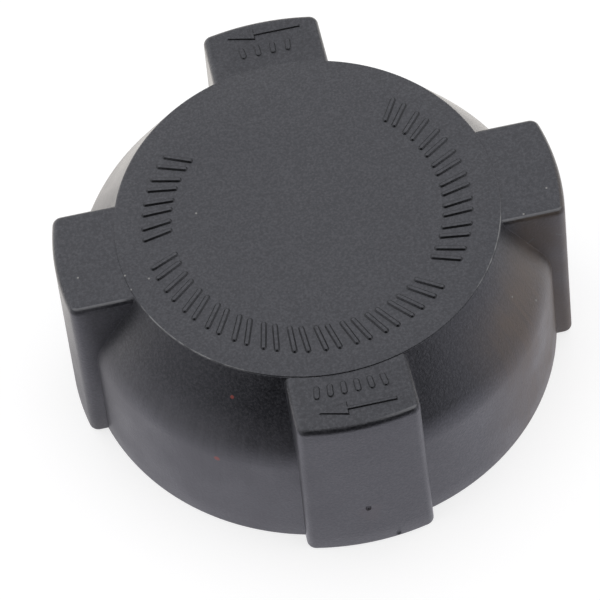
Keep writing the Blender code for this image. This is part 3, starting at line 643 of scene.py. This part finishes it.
gripLook = {
    "charcoal": (0.009, 0.0095, 0.012),
    "charcoalPale": (0.013, 0.0135, 0.017),
    "charcoalDeep": (0.001, 0.001, 0.0015),
    "charcoalFleck": (0.032, 0.032, 0.036),
    "patterns": {               # scale, detail, roughness
        "cloud": (70.0, 4.0, 0.6),
        "grain": (2700.0, 2.0, 0.7),
        "mottle": (1500.0, 3.0, 0.65),
    },
    "layers": (                 # pattern, its values from and to, share of the colour there
        ("cloud", 0.30, 0.70, 0.0, 1.0, "charcoalPale"),
        ("mottle", 0.48, 0.68, 0.0, 0.6, "charcoalFleck"),
        ("mottle", 0.32, 0.50, 0.6, 0.0, "charcoalDeep"),
        ("grain", 0.50, 0.66, 0.0, 1.0, "charcoalDeep"),
        ("grain", 0.34, 0.50, 1.0, 0.0, "charcoalFleck"),
    ),
    # dust films with painted sheen: pale colours that stand partly for dust and partly for light reflected
    # by the walls
    "dustAndSheen": (                  # colour, bearings from and to, strength, radius where it starts
        ((0.115, 0.084, 0.060), -50.0, -4.0, 0.85, 0.0275),
        ((0.095, 0.093, 0.104), -166.0, -102.0, 0.85, 0.0303),
    ),
    "dustSheenFade": 0.0045,
    "dustSheenEnds": 24.0,           # degrees over which each end fades
    "dustSheenPatches": (0.3, 0.65, 0.45, 1.0),
    "dustSheenOffTop": (0.90, 0.97, 1.0, 0.0),
    "dustSheenRough": 0.16,
    "streakAcross": 0.0006,
    "streakUp": 0.10,
    "streaks": (900.0, 3.0, 0.6),
    "streakShare": (0.35, 0.65, 0.72, 1.0),
    "lip": (0.12, 0.12, 0.125),         # painted highlight on the upper edges of the lugs
    "edgeHighlightForward": (0.15, 0.35),         # how far the surface faces the front, and upwards
    "edgeHighlightUpward": (0.80, 0.965, 0.05),
    "edgeHighlightSides": (0.0270, 0.0285),
    "edgeHighlightRight": (0.0, 0.0085, 0.1, 1.0),
    "edgeHighlightBand": (0.0011, 0.0009),        # below the lugs' tops
    "markShade": (0.003, 0.003, 0.0035),    # painted shade on the steep sides of the raised marks, down to their foot
    "markShadeSteep": (0.80, 0.95, 1.0, 0.0),
    # painted highlight in dashes along the disc's edge
    "discEdgeHighlight": (0.20, 0.20, 0.20),
    "discHighlightSectors": ((-158.0, -118.0), (-42.0, -6.0)),
    "discHighlightEnds": 12.0,
    "discHighlightScale": 450.0,
    "discHighlightDashes": (0.42, 0.58, 0.25, 1.0),
    "discHighlightBand": (0.00012, 0.00006),     # inside and outside the disc's edge
    "pale": (0.22, 0.215, 0.20),
    "topSpecks": ((-0.02713, -0.00421), (-0.0239, -0.00555), (-0.0267, -0.00679),
                  (-0.01537, 0.00393), (-0.03369, -0.00282), (0.03404, -0.00411),
                  (0.02981, -0.00773)),
    "wallSpecks": ((-34.3, 0.02475), (-28.9, 0.0207)),      # bearing, height
    "paleReach": 0.00014,
    "scratch": (0.10, 0.095, 0.09),     # two lines on the right lug's front flank
    "scratches": ((0.0300, 0.0242, 0.0309, 0.0251), (0.0343, 0.0251, 0.0351, 0.0245)),
    "scratchReach": 0.00012,
    "rust": (0.30, 0.06, 0.045),
    "rustSpecks": ((-124.6, 0.0167, 0.00042), (-122.3, 0.0265, 0.00026)),   # bearing, height, reach
    "blush": (0.030, 0.018, 0.018),     # round the pit
    "blushSpots": ((0.0002, 0.0071), (0.0006, 0.0088), (-0.0006, 0.0084)),  # on the front lug's face
    "blushReach": 0.0011,
    "blushShare": 0.5,
    "roughness": (0.3, 0.7, 0.34, 0.43),        # the cloud's values, and the roughness there
    "flankRough": (-0.02, 0.02, 0.26, 0.18),    # added on the left and right lug's front flank
    "flankFacing": (-0.97, -0.90, 1.0, 0.0),
    "flankReach": (0.0220, 0.0342, 0.004),
    "flankHeights": (0.004, 0.016),
    "topRough": 0.12,           # added on the tops of the front and back lugs
    "topFlat": (0.98, 0.995),
    "discGap": 0.0003,          # kept clear of the disc's edge
    "hair": 0.00001,            # slack round the height of a flat top
    "specular": 0.78,
    "tint": (0.90, 0.91, 1.0),
    "grainDepth": 0.000055,
}


def onTop(x, y):
    return (x, y, grip["height"] if math.hypot(x, y) < grip["discRadius"] else grip["lugTop"])


def onWall(degrees, height):
    radius = radiusOn(skirtProfile(0.0, grip["shoulderSteps"]), height)
    return swung([(radius, height)], math.radians(degrees))[0]


def onFrontLug(x, height):
    return (x, -math.sqrt(lugSizeAt(height)[0] ** 2 - x ** 2), height)


def alongFlank(x, z, endX, endZ, steps=6):
    # points along a scratch on the right lug's front flank
    points = []
    for i in range(steps + 1):
        height = z + (endZ - z) * i / steps
        points.append((x + (endX - x) * i / steps, -lugSizeAt(height)[1], height))
    return points


def between(value, low, high, fade):
    return product(spread(value, low - fade / 2, low + fade / 2),
                   spread(value, high - fade / 2, high + fade / 2, 1.0, 0.0))


def spots(place, centres, reach):
    # 1 within reach of any of the points
    gaps = [vectorMaths("DISTANCE", place, centre) for centre in centres]
    return merged("MAXIMUM", [spread(gap, reach * 0.6, reach * 1.4, 1.0, 0.0) for gap in gaps])


def gripPlastic():
    look = gripLook
    finish, tree, shader, place = newFinish("gripPlastic")
    x, y, z = axes(place)
    facing = axes(addNode(tree, "TexCoord").outputs["Normal"])
    bearing = maths("DEGREES", maths("ARCTAN2", y, x))
    radius = maths("SQRT", maths("ADD", product(x, x), product(y, y)))
    aside = maths("ABSOLUTE", x)
    patterns = {name: noise(place, *settings) for name, settings in look["patterns"].items()}
    disc, top, hair, gap = grip["discRadius"], grip["lugTop"], look["hair"], look["discGap"]

    tone = look["charcoal"]
    for pattern, *limits, colour in look["layers"]:
        tone = mixed(spread(patterns[pattern], *limits), tone, look[colour])

    # dusty films with painted sheen on the shoulder and skirt between two lugs, faintly streaked up and
    # down: their pale colours stand partly for dust and partly for light these walls reflect
    wrapped = addNode(tree, "CombineXYZ")
    feed(product(bearing, look["streakAcross"]), wrapped, "X")
    feed(product(z, look["streakUp"]), wrapped, "Y")
    streaks = noise(wrapped.outputs["Vector"], *look["streaks"])
    patchy = product(spread(patterns["cloud"], *look["dustSheenPatches"]),
                     spread(streaks, *look["streakShare"]),
                     spread(facing["Z"], *look["dustSheenOffTop"]))
    dustAndSheen = []
    for colour, low, high, strength, start in look["dustAndSheen"]:
        dustAndSheen.append(product(between(bearing, low, high, look["dustSheenEnds"]), patchy, strength,
                             spread(radius, start, start + look["dustSheenFade"])))
        tone = mixed(dustAndSheen[-1], tone, colour)

    # painted highlight on the upper edges, on the side lugs and the front lug's right end
    forward = spread(product(facing["Y"], -1.0), *look["edgeHighlightForward"])
    where = maths("MAXIMUM", spread(aside, *look["edgeHighlightSides"]), spread(x, *look["edgeHighlightRight"]))
    lip = product(forward, between(facing["Z"], *look["edgeHighlightUpward"]), where,
                  spread(z, *(top - drop for drop in look["edgeHighlightBand"])),
                  spread(z, top - hair, top, 1.0, 0.0))
    # painted highlight along the lugs' upper edges where they face the front and upwards
    tone = mixed(lip, tone, look["lip"])

    # painted shade on the steep sides of the raised marks, and a painted highlight on the disc's edge
    steep = spread(maths("ABSOLUTE", facing["Z"]), *look["markShadeSteep"])
    edge = between(radius, disc - gap, disc + gap, gap / 3)
    offEdge = maths("MULTIPLY_ADD", edge, -1.0, 1.0)
    raised = spread(z, top - hair, top + hair * 2)
    tone = mixed(product(steep, raised, offEdge), tone, look["markShade"])
    # painted highlight in dashes along the disc's edge, on two sectors
    highlightBearings = merged("MAXIMUM", [between(bearing, low, high, look["discHighlightEnds"])
                              for low, high in look["discHighlightSectors"]])
    dashes = spread(noise(place, look["discHighlightScale"]), *look["discHighlightDashes"])
    inside, outside = look["discHighlightBand"]
    rimOfDisc = between(radius, disc - inside, disc + outside, outside)
    tone = mixed(product(highlightBearings, dashes, rimOfDisc, raised), tone, look["discEdgeHighlight"])

    # blush, pale specks, scratches and red specks
    blush = spots(place, [onFrontLug(*spot) for spot in look["blushSpots"]], look["blushReach"])
    tone = mixed(product(blush, look["blushShare"]), tone, look["blush"])
    pale = [onTop(*spot) for spot in look["topSpecks"]] + [onWall(*spot) for spot in look["wallSpecks"]]
    tone = mixed(spots(place, pale, look["paleReach"]), tone, look["pale"])
    scratched = [point for line in look["scratches"] for point in alongFlank(*line)]
    tone = mixed(spots(place, scratched, look["scratchReach"]), tone, look["scratch"])
    for degrees, height, reachOut in look["rustSpecks"]:
        tone = mixed(spots(place, [onWall(degrees, height)], reachOut), tone, look["rust"])
    feed(tone, shader, "Base Color")

    flank = product(spread(facing["Y"], *look["flankFacing"]),
                    between(aside, *look["flankReach"]), spread(z, *look["flankHeights"]),
                    spread(x, *look["flankRough"]))
    tops = product(spread(maths("ABSOLUTE", y), disc - gap, disc),
                   spread(facing["Z"], *look["topFlat"]), look["topRough"])
    rough = maths("ADD", spread(patterns["cloud"], *look["roughness"]),
                  product(merged("ADD", dustAndSheen), look["dustSheenRough"]))
    rough = maths("ADD", rough, maths("ADD", flank, tops))
    feed(rough, shader, "Roughness")
    shader.inputs["Specular IOR Level"].default_value = look["specular"]
    shader.inputs["Specular Tint"].default_value = (*look["tint"], 1.0)
    bump(shader, patterns["grain"], look["grainDepth"])
    return finish


shell = gripShell(gripPlastic())
print("grip shell:", len(shell.data.polygons), "faces")


# Finishes of the insert
insertLooks = {                 # colour, second colour, roughness, metallic, grain, depth of the grain
    "insert_plastic": ((0.022, 0.022, 0.024), (0.034, 0.034, 0.037), 0.38, 0.0, 2500.0, 0.00002),
    "valve_plastic": ((0.62, 0.60, 0.54), (0.52, 0.50, 0.44), 0.42, 0.0, 2500.0, 0.00001),
    "seal_rubber": ((0.016, 0.016, 0.017), (0.030, 0.030, 0.030), 0.66, 0.0, 3000.0, 0.00003),
    "spring_steel": ((0.56, 0.56, 0.55), (0.40, 0.39, 0.38), 0.28, 1.0, 3000.0, 0.00001),
    "brass": ((0.72, 0.53, 0.24), (0.55, 0.39, 0.17), 0.30, 1.0, 3000.0, 0.00001),
}


insertPattern = {
    "cloudScale": 1 / 15,       # of the grain's
    "cloud": (0.35, 0.68),
    "upright": 2.5,             # the grain is this much finer upwards
    "fine": (0.50, 0.75, 0.0, 0.35),
    "glossFrom": 0.85,          # of the roughness, where the grain is low
    "glossTo": 1.2,
}


def insertFinish(name, look):
    colour, second, roughness, metallic, grain, depth = look
    finish, tree, shader, place = newFinish(name)
    cloud = noise(place, grain * insertPattern["cloudScale"], 4.0, 0.6)
    squeezed = addNode(tree, "Mapping", Scale=(1.0, 1.0, insertPattern["upright"]))
    feed(place, squeezed, "Vector")
    fine = noise(squeezed.outputs["Vector"], grain, 3.0, 0.6)
    tone = mixed(spread(cloud, *insertPattern["cloud"]), colour, second)
    tone = mixed(spread(fine, *insertPattern["fine"]), tone, second)
    feed(tone, shader, "Base Color")
    gloss = spread(fine, 0.3, 0.7, roughness * insertPattern["glossFrom"],
                   roughness * insertPattern["glossTo"])
    feed(gloss, shader, "Roughness")
    shader.inputs["Metallic"].default_value = metallic
    bump(shader, fine, depth)
    return finish


finishes = {slot: insertFinish(slot, look) for slot, look in insertLooks.items()}


# Valve insert: turned pieces, at the levels and outer radii of the plain solids
def reach(node):
    # outer radius, bottom and top of one of the frame's nodes
    low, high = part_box(node)
    return -low.x, low.z, high.z


def softLoop(corners, steps=4):
    # corners: (radius, height, rounding), in order round a closed profile
    loop = []
    for i, (radius, height, rounding) in enumerate(corners):
        if rounding:
            before, after = corners[i - 1][:2], corners[(i + 1) % len(corners)][:2]
            loop += fillet(before, (radius, height), after, rounding, steps)
        else:
            loop.append((radius, height))
    return loop


def squareLoop(inner, outer, bottom, top, edge, steps=4):
    corners = [(inner, bottom), (outer, bottom), (outer, top), (inner, top)]
    return softLoop([(*corner, edge) for corner in corners], steps)


def install(piece, node, body, slot):
    piece.data.materials.clear()
    piece.data.materials.append(finishes[slot])
    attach(piece, body)
    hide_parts(node)


housing = {
    "flangeThickness": 0.0016,
    "spigotRadius": 0.0117,
    "spigotHeight": 0.0006,
    "plateThickness": 0.0020,
    "hubRadius": 0.0159,
    "hubBead": 0.0008,
    "hubDrop": 0.0046,          # hub's lower end, below the flange's top
    "beadHeight": 0.0006,
    "taperHeight": 0.0010,
    "barrelRadius": 0.0140,
    "boreRadius": 0.0118,
    "grooveRadius": 0.0127,
    "grooveRise": 0.0040,       # middle of the O-ring's groove, above the lower end
    "grooveHalf": 0.0015,
    "bossRadius": 0.0070,
    "bossBore": 0.0050,
    "bossLength": 0.0034,
    "edge": 0.0002,
    "hollow": 0.0004,
    "windowCount": 4,
    "windowWidth": 0.0090,
    "windowHeight": 0.0062,
    "windowMargin": 0.0007,
    "windowCorner": 0.0009,
}


def barrelWindows(top):
    width, height, corner = (housing[k] for k in ("windowWidth", "windowHeight", "windowCorner"))
    inner = (housing["boreRadius"] + housing["bossRadius"]) / 2
    half, drop = width / 2 - corner, height / 2 - corner
    outline = []
    for i, (y, z) in enumerate(((half, drop), (-half, drop), (-half, -drop), (half, -drop))):
        outline += arc((y, z), corner, math.pi / 2 * i, math.pi / 2 * (i + 1), 5)
    bm = bmesh.new()
    for i in range(housing["windowCount"]):
        turn = Matrix.Rotation(math.tau * (i + 0.5) / housing["windowCount"], 3, "Z")
        skinRings(bm, [[turn @ Vector((x, y, top - height / 2 + z)) for y, z in outline]
                       for x in (inner, housing["hubRadius"])])
    return objectFrom(bm, "barrelWindows")


def valveHousing():
    flange, bottom, top = reach("valve_housing")
    edge, hollow = housing["edge"], housing["hollow"]
    face = top - housing["spigotHeight"]
    ceiling = face - housing["plateThickness"]
    hubBottom = face - housing["hubDrop"]
    beadTop = hubBottom + housing["beadHeight"]
    barrelTop = hubBottom - housing["taperHeight"]
    grooveTop = bottom + housing["grooveRise"] + housing["grooveHalf"]
    grooveBottom = bottom + housing["grooveRise"] - housing["grooveHalf"]
    hub, barrel, groove, bore, boss = (
        housing[k + "Radius"] for k in ("hub", "barrel", "groove", "bore", "boss"))
    bossBore, bossBottom = housing["bossBore"], ceiling - housing["bossLength"]
    corners = [
        (0.0, top, 0), (housing["spigotRadius"], top, edge / 2), (housing["spigotRadius"], face, 0),
        (flange, face, edge), (flange, face - housing["flangeThickness"], edge),
        (hub, face - housing["flangeThickness"], 0), (hub, beadTop, 0),
        (hub + housing["hubBead"], beadTop, edge / 2), (hub, hubBottom, edge / 2),
        (barrel, barrelTop, edge), (barrel, grooveTop, edge), (groove, grooveTop, edge / 2),
        (groove, grooveBottom, edge / 2), (barrel, grooveBottom, edge), (barrel, bottom, edge * 2),
        (bore, bottom, edge), (bore, ceiling, hollow), (boss, ceiling, hollow / 2),
        (boss, bossBottom, edge), (bossBore, bossBottom, edge), (bossBore, ceiling, hollow),
        (0.0, ceiling, 0),
    ]
    piece = turnedSolid("valveHousing", softLoop(corners), 144)
    carve(piece, [(barrelWindows(barrelTop - housing["windowMargin"]), "DIFFERENCE")])
    install(piece, "valve_housing", "insert", "insert_plastic")


washers = {                     # inner radius
    "slip_washer": 0.0120,
    "spring_washer": 0.0073,
}


def flatWasher(name, node, slot):
    outer, bottom, top = reach(node)
    inner, edge = washers[node], (top - bottom) / 4
    install(turnedSolid(name, squareLoop(inner, outer, bottom, top, edge, 3), 128), node, "insert", slot)


rubbers = {
    "gasketInner": 0.0162,
    "gasketChamfer": 0.0009,
    "gasketEdge": 0.0003,
    "ringThickness": 0.0024,
    "sealInner": 0.0029,
    "sealEdge": 0.0003,
}


def neckGasket():
    outer, bottom, top = reach("neck_gasket")
    inner, chamfer, edge = (rubbers[k] for k in ("gasketInner", "gasketChamfer", "gasketEdge"))
    corners = [(inner, bottom + chamfer, edge / 2), (inner + chamfer, bottom, edge / 2),
               (outer, bottom, edge), (outer, top, edge), (inner, top, edge)]
    install(turnedSolid("neckGasket", softLoop(corners), 144), "neck_gasket", "insert", "seal_rubber")


def neckRing():
    outer, bottom, top = reach("neck_o_ring")
    section = rubbers["ringThickness"] / 2
    loop = arc((outer - section, (bottom + top) / 2), section, 0.0, math.tau, 24, True)
    install(turnedSolid("neckRing", loop, 128), "neck_o_ring", "insert", "seal_rubber")


def pressureSeal():
    outer, bottom, top = reach("pressure_seal")
    inner, edge = rubbers["sealInner"], rubbers["sealEdge"]
    piece = turnedSolid("pressureSeal", squareLoop(inner, outer, bottom, top, edge), 96)
    install(piece, "pressure_seal", "pressure_valve", "seal_rubber")


seat = {
    "thickness": 0.0015,        # of the ring's flange
    "plugRadius": 0.0115,
    "lipWidth": 0.0018,
    "lipHeight": 0.0010,
    "lipCrest": 0.0007,
    "lipCentre": 0.6,           # share of the lip's width, out from the bore
    "bore": 0.0070,
    "edge": 0.0002,
    "mouth": 0.0006,
}


def seatRing():
    outer, bottom, top = reach("valve_seat_ring")
    edge, bore = seat["edge"], seat["bore"]
    plugTop = top - seat["lipHeight"]
    crest = bore + seat["lipWidth"] * seat["lipCentre"]
    mouth, plug, flangeTop = seat["mouth"], seat["plugRadius"], bottom + seat["thickness"]
    corners = [
        (bore, bottom + mouth, edge), (bore + mouth, bottom, edge), (outer, bottom, edge * 1.5),
        (outer, flangeTop, edge), (plug, flangeTop, edge / 2), (plug, plugTop, edge),
        (bore + seat["lipWidth"], plugTop, edge / 2), (crest + seat["lipCrest"] / 2, top, edge),
        (crest - seat["lipCrest"] / 2, top, edge), (bore, plugTop, edge),
    ]
    install(turnedSolid("seatRing", softLoop(corners), 144), "valve_seat_ring", "insert", "insert_plastic")


piston = {
    "bore": 0.0021,
    "boss": 0.0036,
    "rimBore": 0.0104,
    "bead": 0.0007,
    "beadHeight": 0.0005,
    "sealSpace": 0.0021,        # from the bead's top to the web
    "web": 0.0018,
    "edge": 0.00015,
    "fluteCount": 6,
    "fluteRadius": 0.0014,
    "fluteDepth": 0.0004,
    "fluteLength": 1.2,         # of the rim's height
}


def pressurePiston():
    outer, bottom, top = reach("pressure_piston")
    edge, rim, bead = piston["edge"], piston["rimBore"], piston["rimBore"] - piston["bead"]
    beadTop = bottom + piston["beadHeight"]
    webBottom = beadTop + piston["sealSpace"]
    webTop = webBottom + piston["web"]
    bore, boss = piston["bore"], piston["boss"]
    corners = [
        (bore, webBottom, edge), (bore, top, edge), (boss, top, edge), (boss, webTop, edge),
        (rim, webTop, edge), (rim, top, edge), (outer, top, edge), (outer, bottom, edge),
        (bead, bottom, edge), (bead, beadTop, edge), (rim, beadTop, 0), (rim, webBottom, 0),
    ]
    piece = turnedSolid("pressurePiston", softLoop(corners), 120)
    bm = bmesh.new()
    middle = (outer - piston["fluteDepth"] + piston["fluteRadius"], 0.0, (top + bottom) / 2)
    for i in range(piston["fluteCount"]):
        turn = Matrix.Rotation(math.tau * i / piston["fluteCount"], 4, "Z")
        bmesh.ops.create_cone(bm, cap_ends=True, segments=32, radius1=piston["fluteRadius"],
                              radius2=piston["fluteRadius"], depth=(top - bottom) * piston["fluteLength"],
                              matrix=turn @ Matrix.Translation(middle))
    carve(piece, [(objectFrom(bm, "flutes"), "DIFFERENCE")])
    install(piece, "pressure_piston", "pressure_valve", "valve_plastic")


poppet = {
    "headThickness": 0.0009,
    "lipWidth": 0.0010,
    "lipHeight": 0.0004,
    "stem": 0.0012,
    "groove": 0.0008,
    "grooveTop": 0.0009,        # below the stem's tip
    "grooveWidth": 0.0012,
    "tip": 0.0003,
    "edge": 0.00012,
    "clipInner": 0.0011,
    "clipMouth": 70.0,          # degrees left open
}


def vacuumPoppet():
    outer, bottom, top = reach("vacuum_poppet")
    edge, stem, groove, lip = (poppet[k] for k in ("edge", "stem", "groove", "lipHeight"))
    base = bottom + poppet["headThickness"]
    inner = outer - lip - poppet["lipWidth"]
    grooveTop = top - poppet["grooveTop"]
    grooveBottom = grooveTop - poppet["grooveWidth"]
    corners = [
        (0.0, bottom, 0), (outer, bottom, edge * 2), (outer, base, edge), (outer - lip, base + lip, edge),
        (inner, base + lip, edge), (inner - lip, base, edge), (stem, base, edge),
        (stem, grooveBottom, edge / 2), (groove, grooveBottom, 0), (groove, grooveTop, 0),
        (stem, grooveTop, edge / 2), (stem, top, poppet["tip"]), (0.0, top, 0),
    ]
    install(turnedSolid("vacuumPoppet", softLoop(corners), 72), "vacuum_poppet", "vacuum_valve", "brass")


def vacuumClip():
    outer, bottom, top = reach("vacuum_clip")
    inner, edge = poppet["clipInner"], (top - bottom) / 5
    section = squareLoop(inner, outer, bottom, top, edge, 3)
    steps = 48
    rings = []
    for i in range(steps + 1):
        turn = math.radians(poppet["clipMouth"] / 2 + (360.0 - poppet["clipMouth"]) * i / steps)
        rings.append(swung(section, turn))
    install(skinned("vacuumClip", rings), "vacuum_clip", "vacuum_valve", "spring_steel")


springs = {                     # wire's radius, turns, travel of the joint that presses it
    "main_spring": (0.0008, 4.0, 0.0025),
    "vacuum_spring": (0.00025, 3.0, 0.0015),
}
coil = {
    "stepsEachTurn": 48,
    "stepsRoundWire": 16,
    "endPitch": 2.2,            # of the closed ends, in wire radii
}


def coilSpring(name, node, body):
    # round wire with closed ends
    outer, bottom, top = reach(node)
    wire, turns, travel = springs[node]
    length = top - bottom
    steps = round(turns * coil["stepsEachTurn"])
    radius = outer - wire
    climb = [min(1.0, max(0.0, min(t, turns - t) - 0.5) * 2) for t in
             (turns * (i + 0.5) / steps for i in range(steps))]
    endClimb = coil["endPitch"] * wire * turns / steps
    extra = (length - 2 * wire - endClimb * steps) / sum(climb)
    height = bottom + wire
    rings = []
    for i in range(steps + 1):
        turn = math.tau * turns * i / steps
        section = arc((0, 0), wire, 0.0, math.tau, coil["stepsRoundWire"], True)
        rings.append(swung([(radius + r, height + z) for r, z in section], turn))
        if i < steps:
            height += endClimb + extra * climb[i]
    piece = skinned(name, rings)
    install(piece, node, body, "spring_steel")
    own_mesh(piece)


flatWasher("slipWasher", "slip_washer", "valve_plastic")
valveHousing()
neckGasket()
neckRing()
seatRing()
flatWasher("springWasher", "spring_washer", "spring_steel")
coilSpring("mainSpring", "main_spring", "insert")
print("insert built")
pressurePiston()
pressureSeal()
coilSpring("vacuumSpring", "vacuum_spring", "pressure_valve")
vacuumPoppet()
vacuumClip()
print("valves built")


# Floor, light and background
studio = {
    "floorRings": (0.0345, 0.2, 0.6),   # the hole is inside the cap's rim and lights the underside
    "floorSteps": 96,
    "floorDrop": 0.00002,
    "floorColour": (0.41, 0.408, 0.413),
    "floorGlow": 0.71,
    "mirroredTint": ((1.05, 1.01, 0.96), (0.98, 0.965, 1.04)),     # behind, in front
    "mirroredNear": (0.84, 1.10),       # floor as the cap's walls mirror it: behind, in front
    "mirroredFar": (1.86, 1.16),
    "mirroredTurn": 0.03,       # reach of the change from behind to in front
    "mirroredFrom": 0.038,
    "mirroredTo": 0.052,
    "unlitWay": (-0.49, -0.87),         # the floor is unlit this way
    "unlitFrom": 0.065,
    "unlitTo": 0.10,
    "unlitFloor": 0.25,
    "horizon": 0.75,
    "overhead": 1.14,
    "levels": (0.38, 0.48),     # from the horizon's level to the one overhead
    "darkSide": (-0.11, -0.92, 0.37),   # direction of the unlit side of the room
    "darkInner": 0.893,
    "darkOuter": 0.50,
    "darkLevel": 0.0,
}


def towards(direction, side):
    return vectorMaths("DOT_PRODUCT", direction, Vector(side).normalized())


def chosen(share, first, second):
    # share 0 gives the first shader, 1 the second
    node = addNode(share.id_data, "MixShader")
    for socket, value in enumerate((share, first, second)):
        feed(value, node, socket)
    return node.outputs["Shader"]


def studioFloor():
    bm = bmesh.new()
    turns = [math.tau * i / studio["floorSteps"] for i in range(studio["floorSteps"])]
    skinRings(bm, [[(radius * math.cos(turn), radius * math.sin(turn), -studio["floorDrop"])
                    for turn in turns] for radius in studio["floorRings"]], capped=False)
    finish = bpy.data.materials.new("paleFloor")
    finish.use_nodes = True
    tree = finish.node_tree
    tree.nodes.clear()
    diffuse = addNode(tree, "BsdfDiffuse", Color=(*studio["floorColour"], 1.0))
    glow = addNode(tree, "Emission")
    rays = addNode(tree, "LightPath")
    place = addNode(tree, "TexCoord").outputs["Object"]
    feed(product(rays.outputs["Is Camera Ray"], studio["floorGlow"]), glow, "Strength")
    plain = addNode(tree, "AddShader")
    feed(diffuse.outputs["BSDF"], plain, 0)
    feed(glow.outputs["Emission"], plain, 1)
    away = vectorMaths("LENGTH", place)
    inFront = towards(place, (0.0, -1.0, 0.0))
    turn = studio["mirroredTurn"]
    nearLevel = spread(inFront, -turn / 3, turn, *studio["mirroredNear"])
    farLevel = spread(inFront, -turn, turn / 3, *studio["mirroredFar"])
    share = spread(away, studio["mirroredFrom"], studio["mirroredTo"])
    level = maths("ADD", nearLevel, product(share, maths("SUBTRACT", farLevel, nearLevel)))
    lit = spread(towards(place, (*studio["unlitWay"], 0.0)), studio["unlitFrom"],
                 studio["unlitTo"], 1.0, studio["unlitFloor"])
    mirrored = addNode(tree, "Emission")
    feed(mixed(spread(inFront, -turn, turn), *studio["mirroredTint"]), mirrored, "Color")
    feed(product(level, lit), mirrored, "Strength")
    shown = chosen(rays.outputs["Is Glossy Ray"], plain.outputs["Shader"], mirrored.outputs["Emission"])
    clear = addNode(tree, "BsdfTransparent")
    side = addNode(tree, "NewGeometry").outputs["Backfacing"]
    feed(chosen(side, shown, clear.outputs["BSDF"]), addNode(tree, "OutputMaterial"), "Surface")
    mesh = bpy.data.meshes.new("studioFloor")
    bm.normal_update()
    for face in bm.faces:
        if face.normal.z < 0:
            face.normal_flip()
    bm.to_mesh(mesh)
    bm.free()
    mesh.materials.append(finish)
    made = addObject("studioFloor", mesh)


def studioWorld():
    world = bpy.data.worlds.new("paleStudio")
    bpy.context.scene.world = world
    world.use_nodes = True
    tree = world.node_tree
    background = tree.nodes["Background"]
    background.inputs["Color"].default_value = (1.0, 1.0, 1.0, 1.0)
    direction = addNode(tree, "TexCoord").outputs["Generated"]
    height = axes(direction)["Z"]
    room = spread(height, *studio["levels"], studio["horizon"], studio["overhead"])
    unlit = spread(towards(direction, studio["darkSide"]), studio["darkOuter"],
                   studio["darkInner"], 1.0, studio["darkLevel"])
    seen = addNode(tree, "Mix", B=1.0)
    feed(addNode(tree, "LightPath").outputs["Is Camera Ray"], seen, "Factor")
    feed(product(room, unlit), seen, "A")
    feed(seen.outputs["Result"], background, "Strength")


lamps = {                       # place, width, watts
    "softboxTop": ((-0.04, 0.42, 0.91), 2.0, 0.9),
    "softboxBack": ((-0.60, 0.80, 0.28), 0.7, 0.9),
}


def hangLamps():
    for name, (place, width, power) in lamps.items():
        data = bpy.data.lights.new(name, "AREA")
        data.shape = "DISK"
        data.size = width
        data.energy = power
        made = addObject(name, data)
        made.location = place
        made.rotation_mode = "QUATERNION"
        made.rotation_quaternion = Vector(place).to_track_quat("Z", "Y")


studioFloor()
studioWorld()
hangLamps()
bpy.context.scene.view_settings.view_transform = "Standard"
print("studio ready")
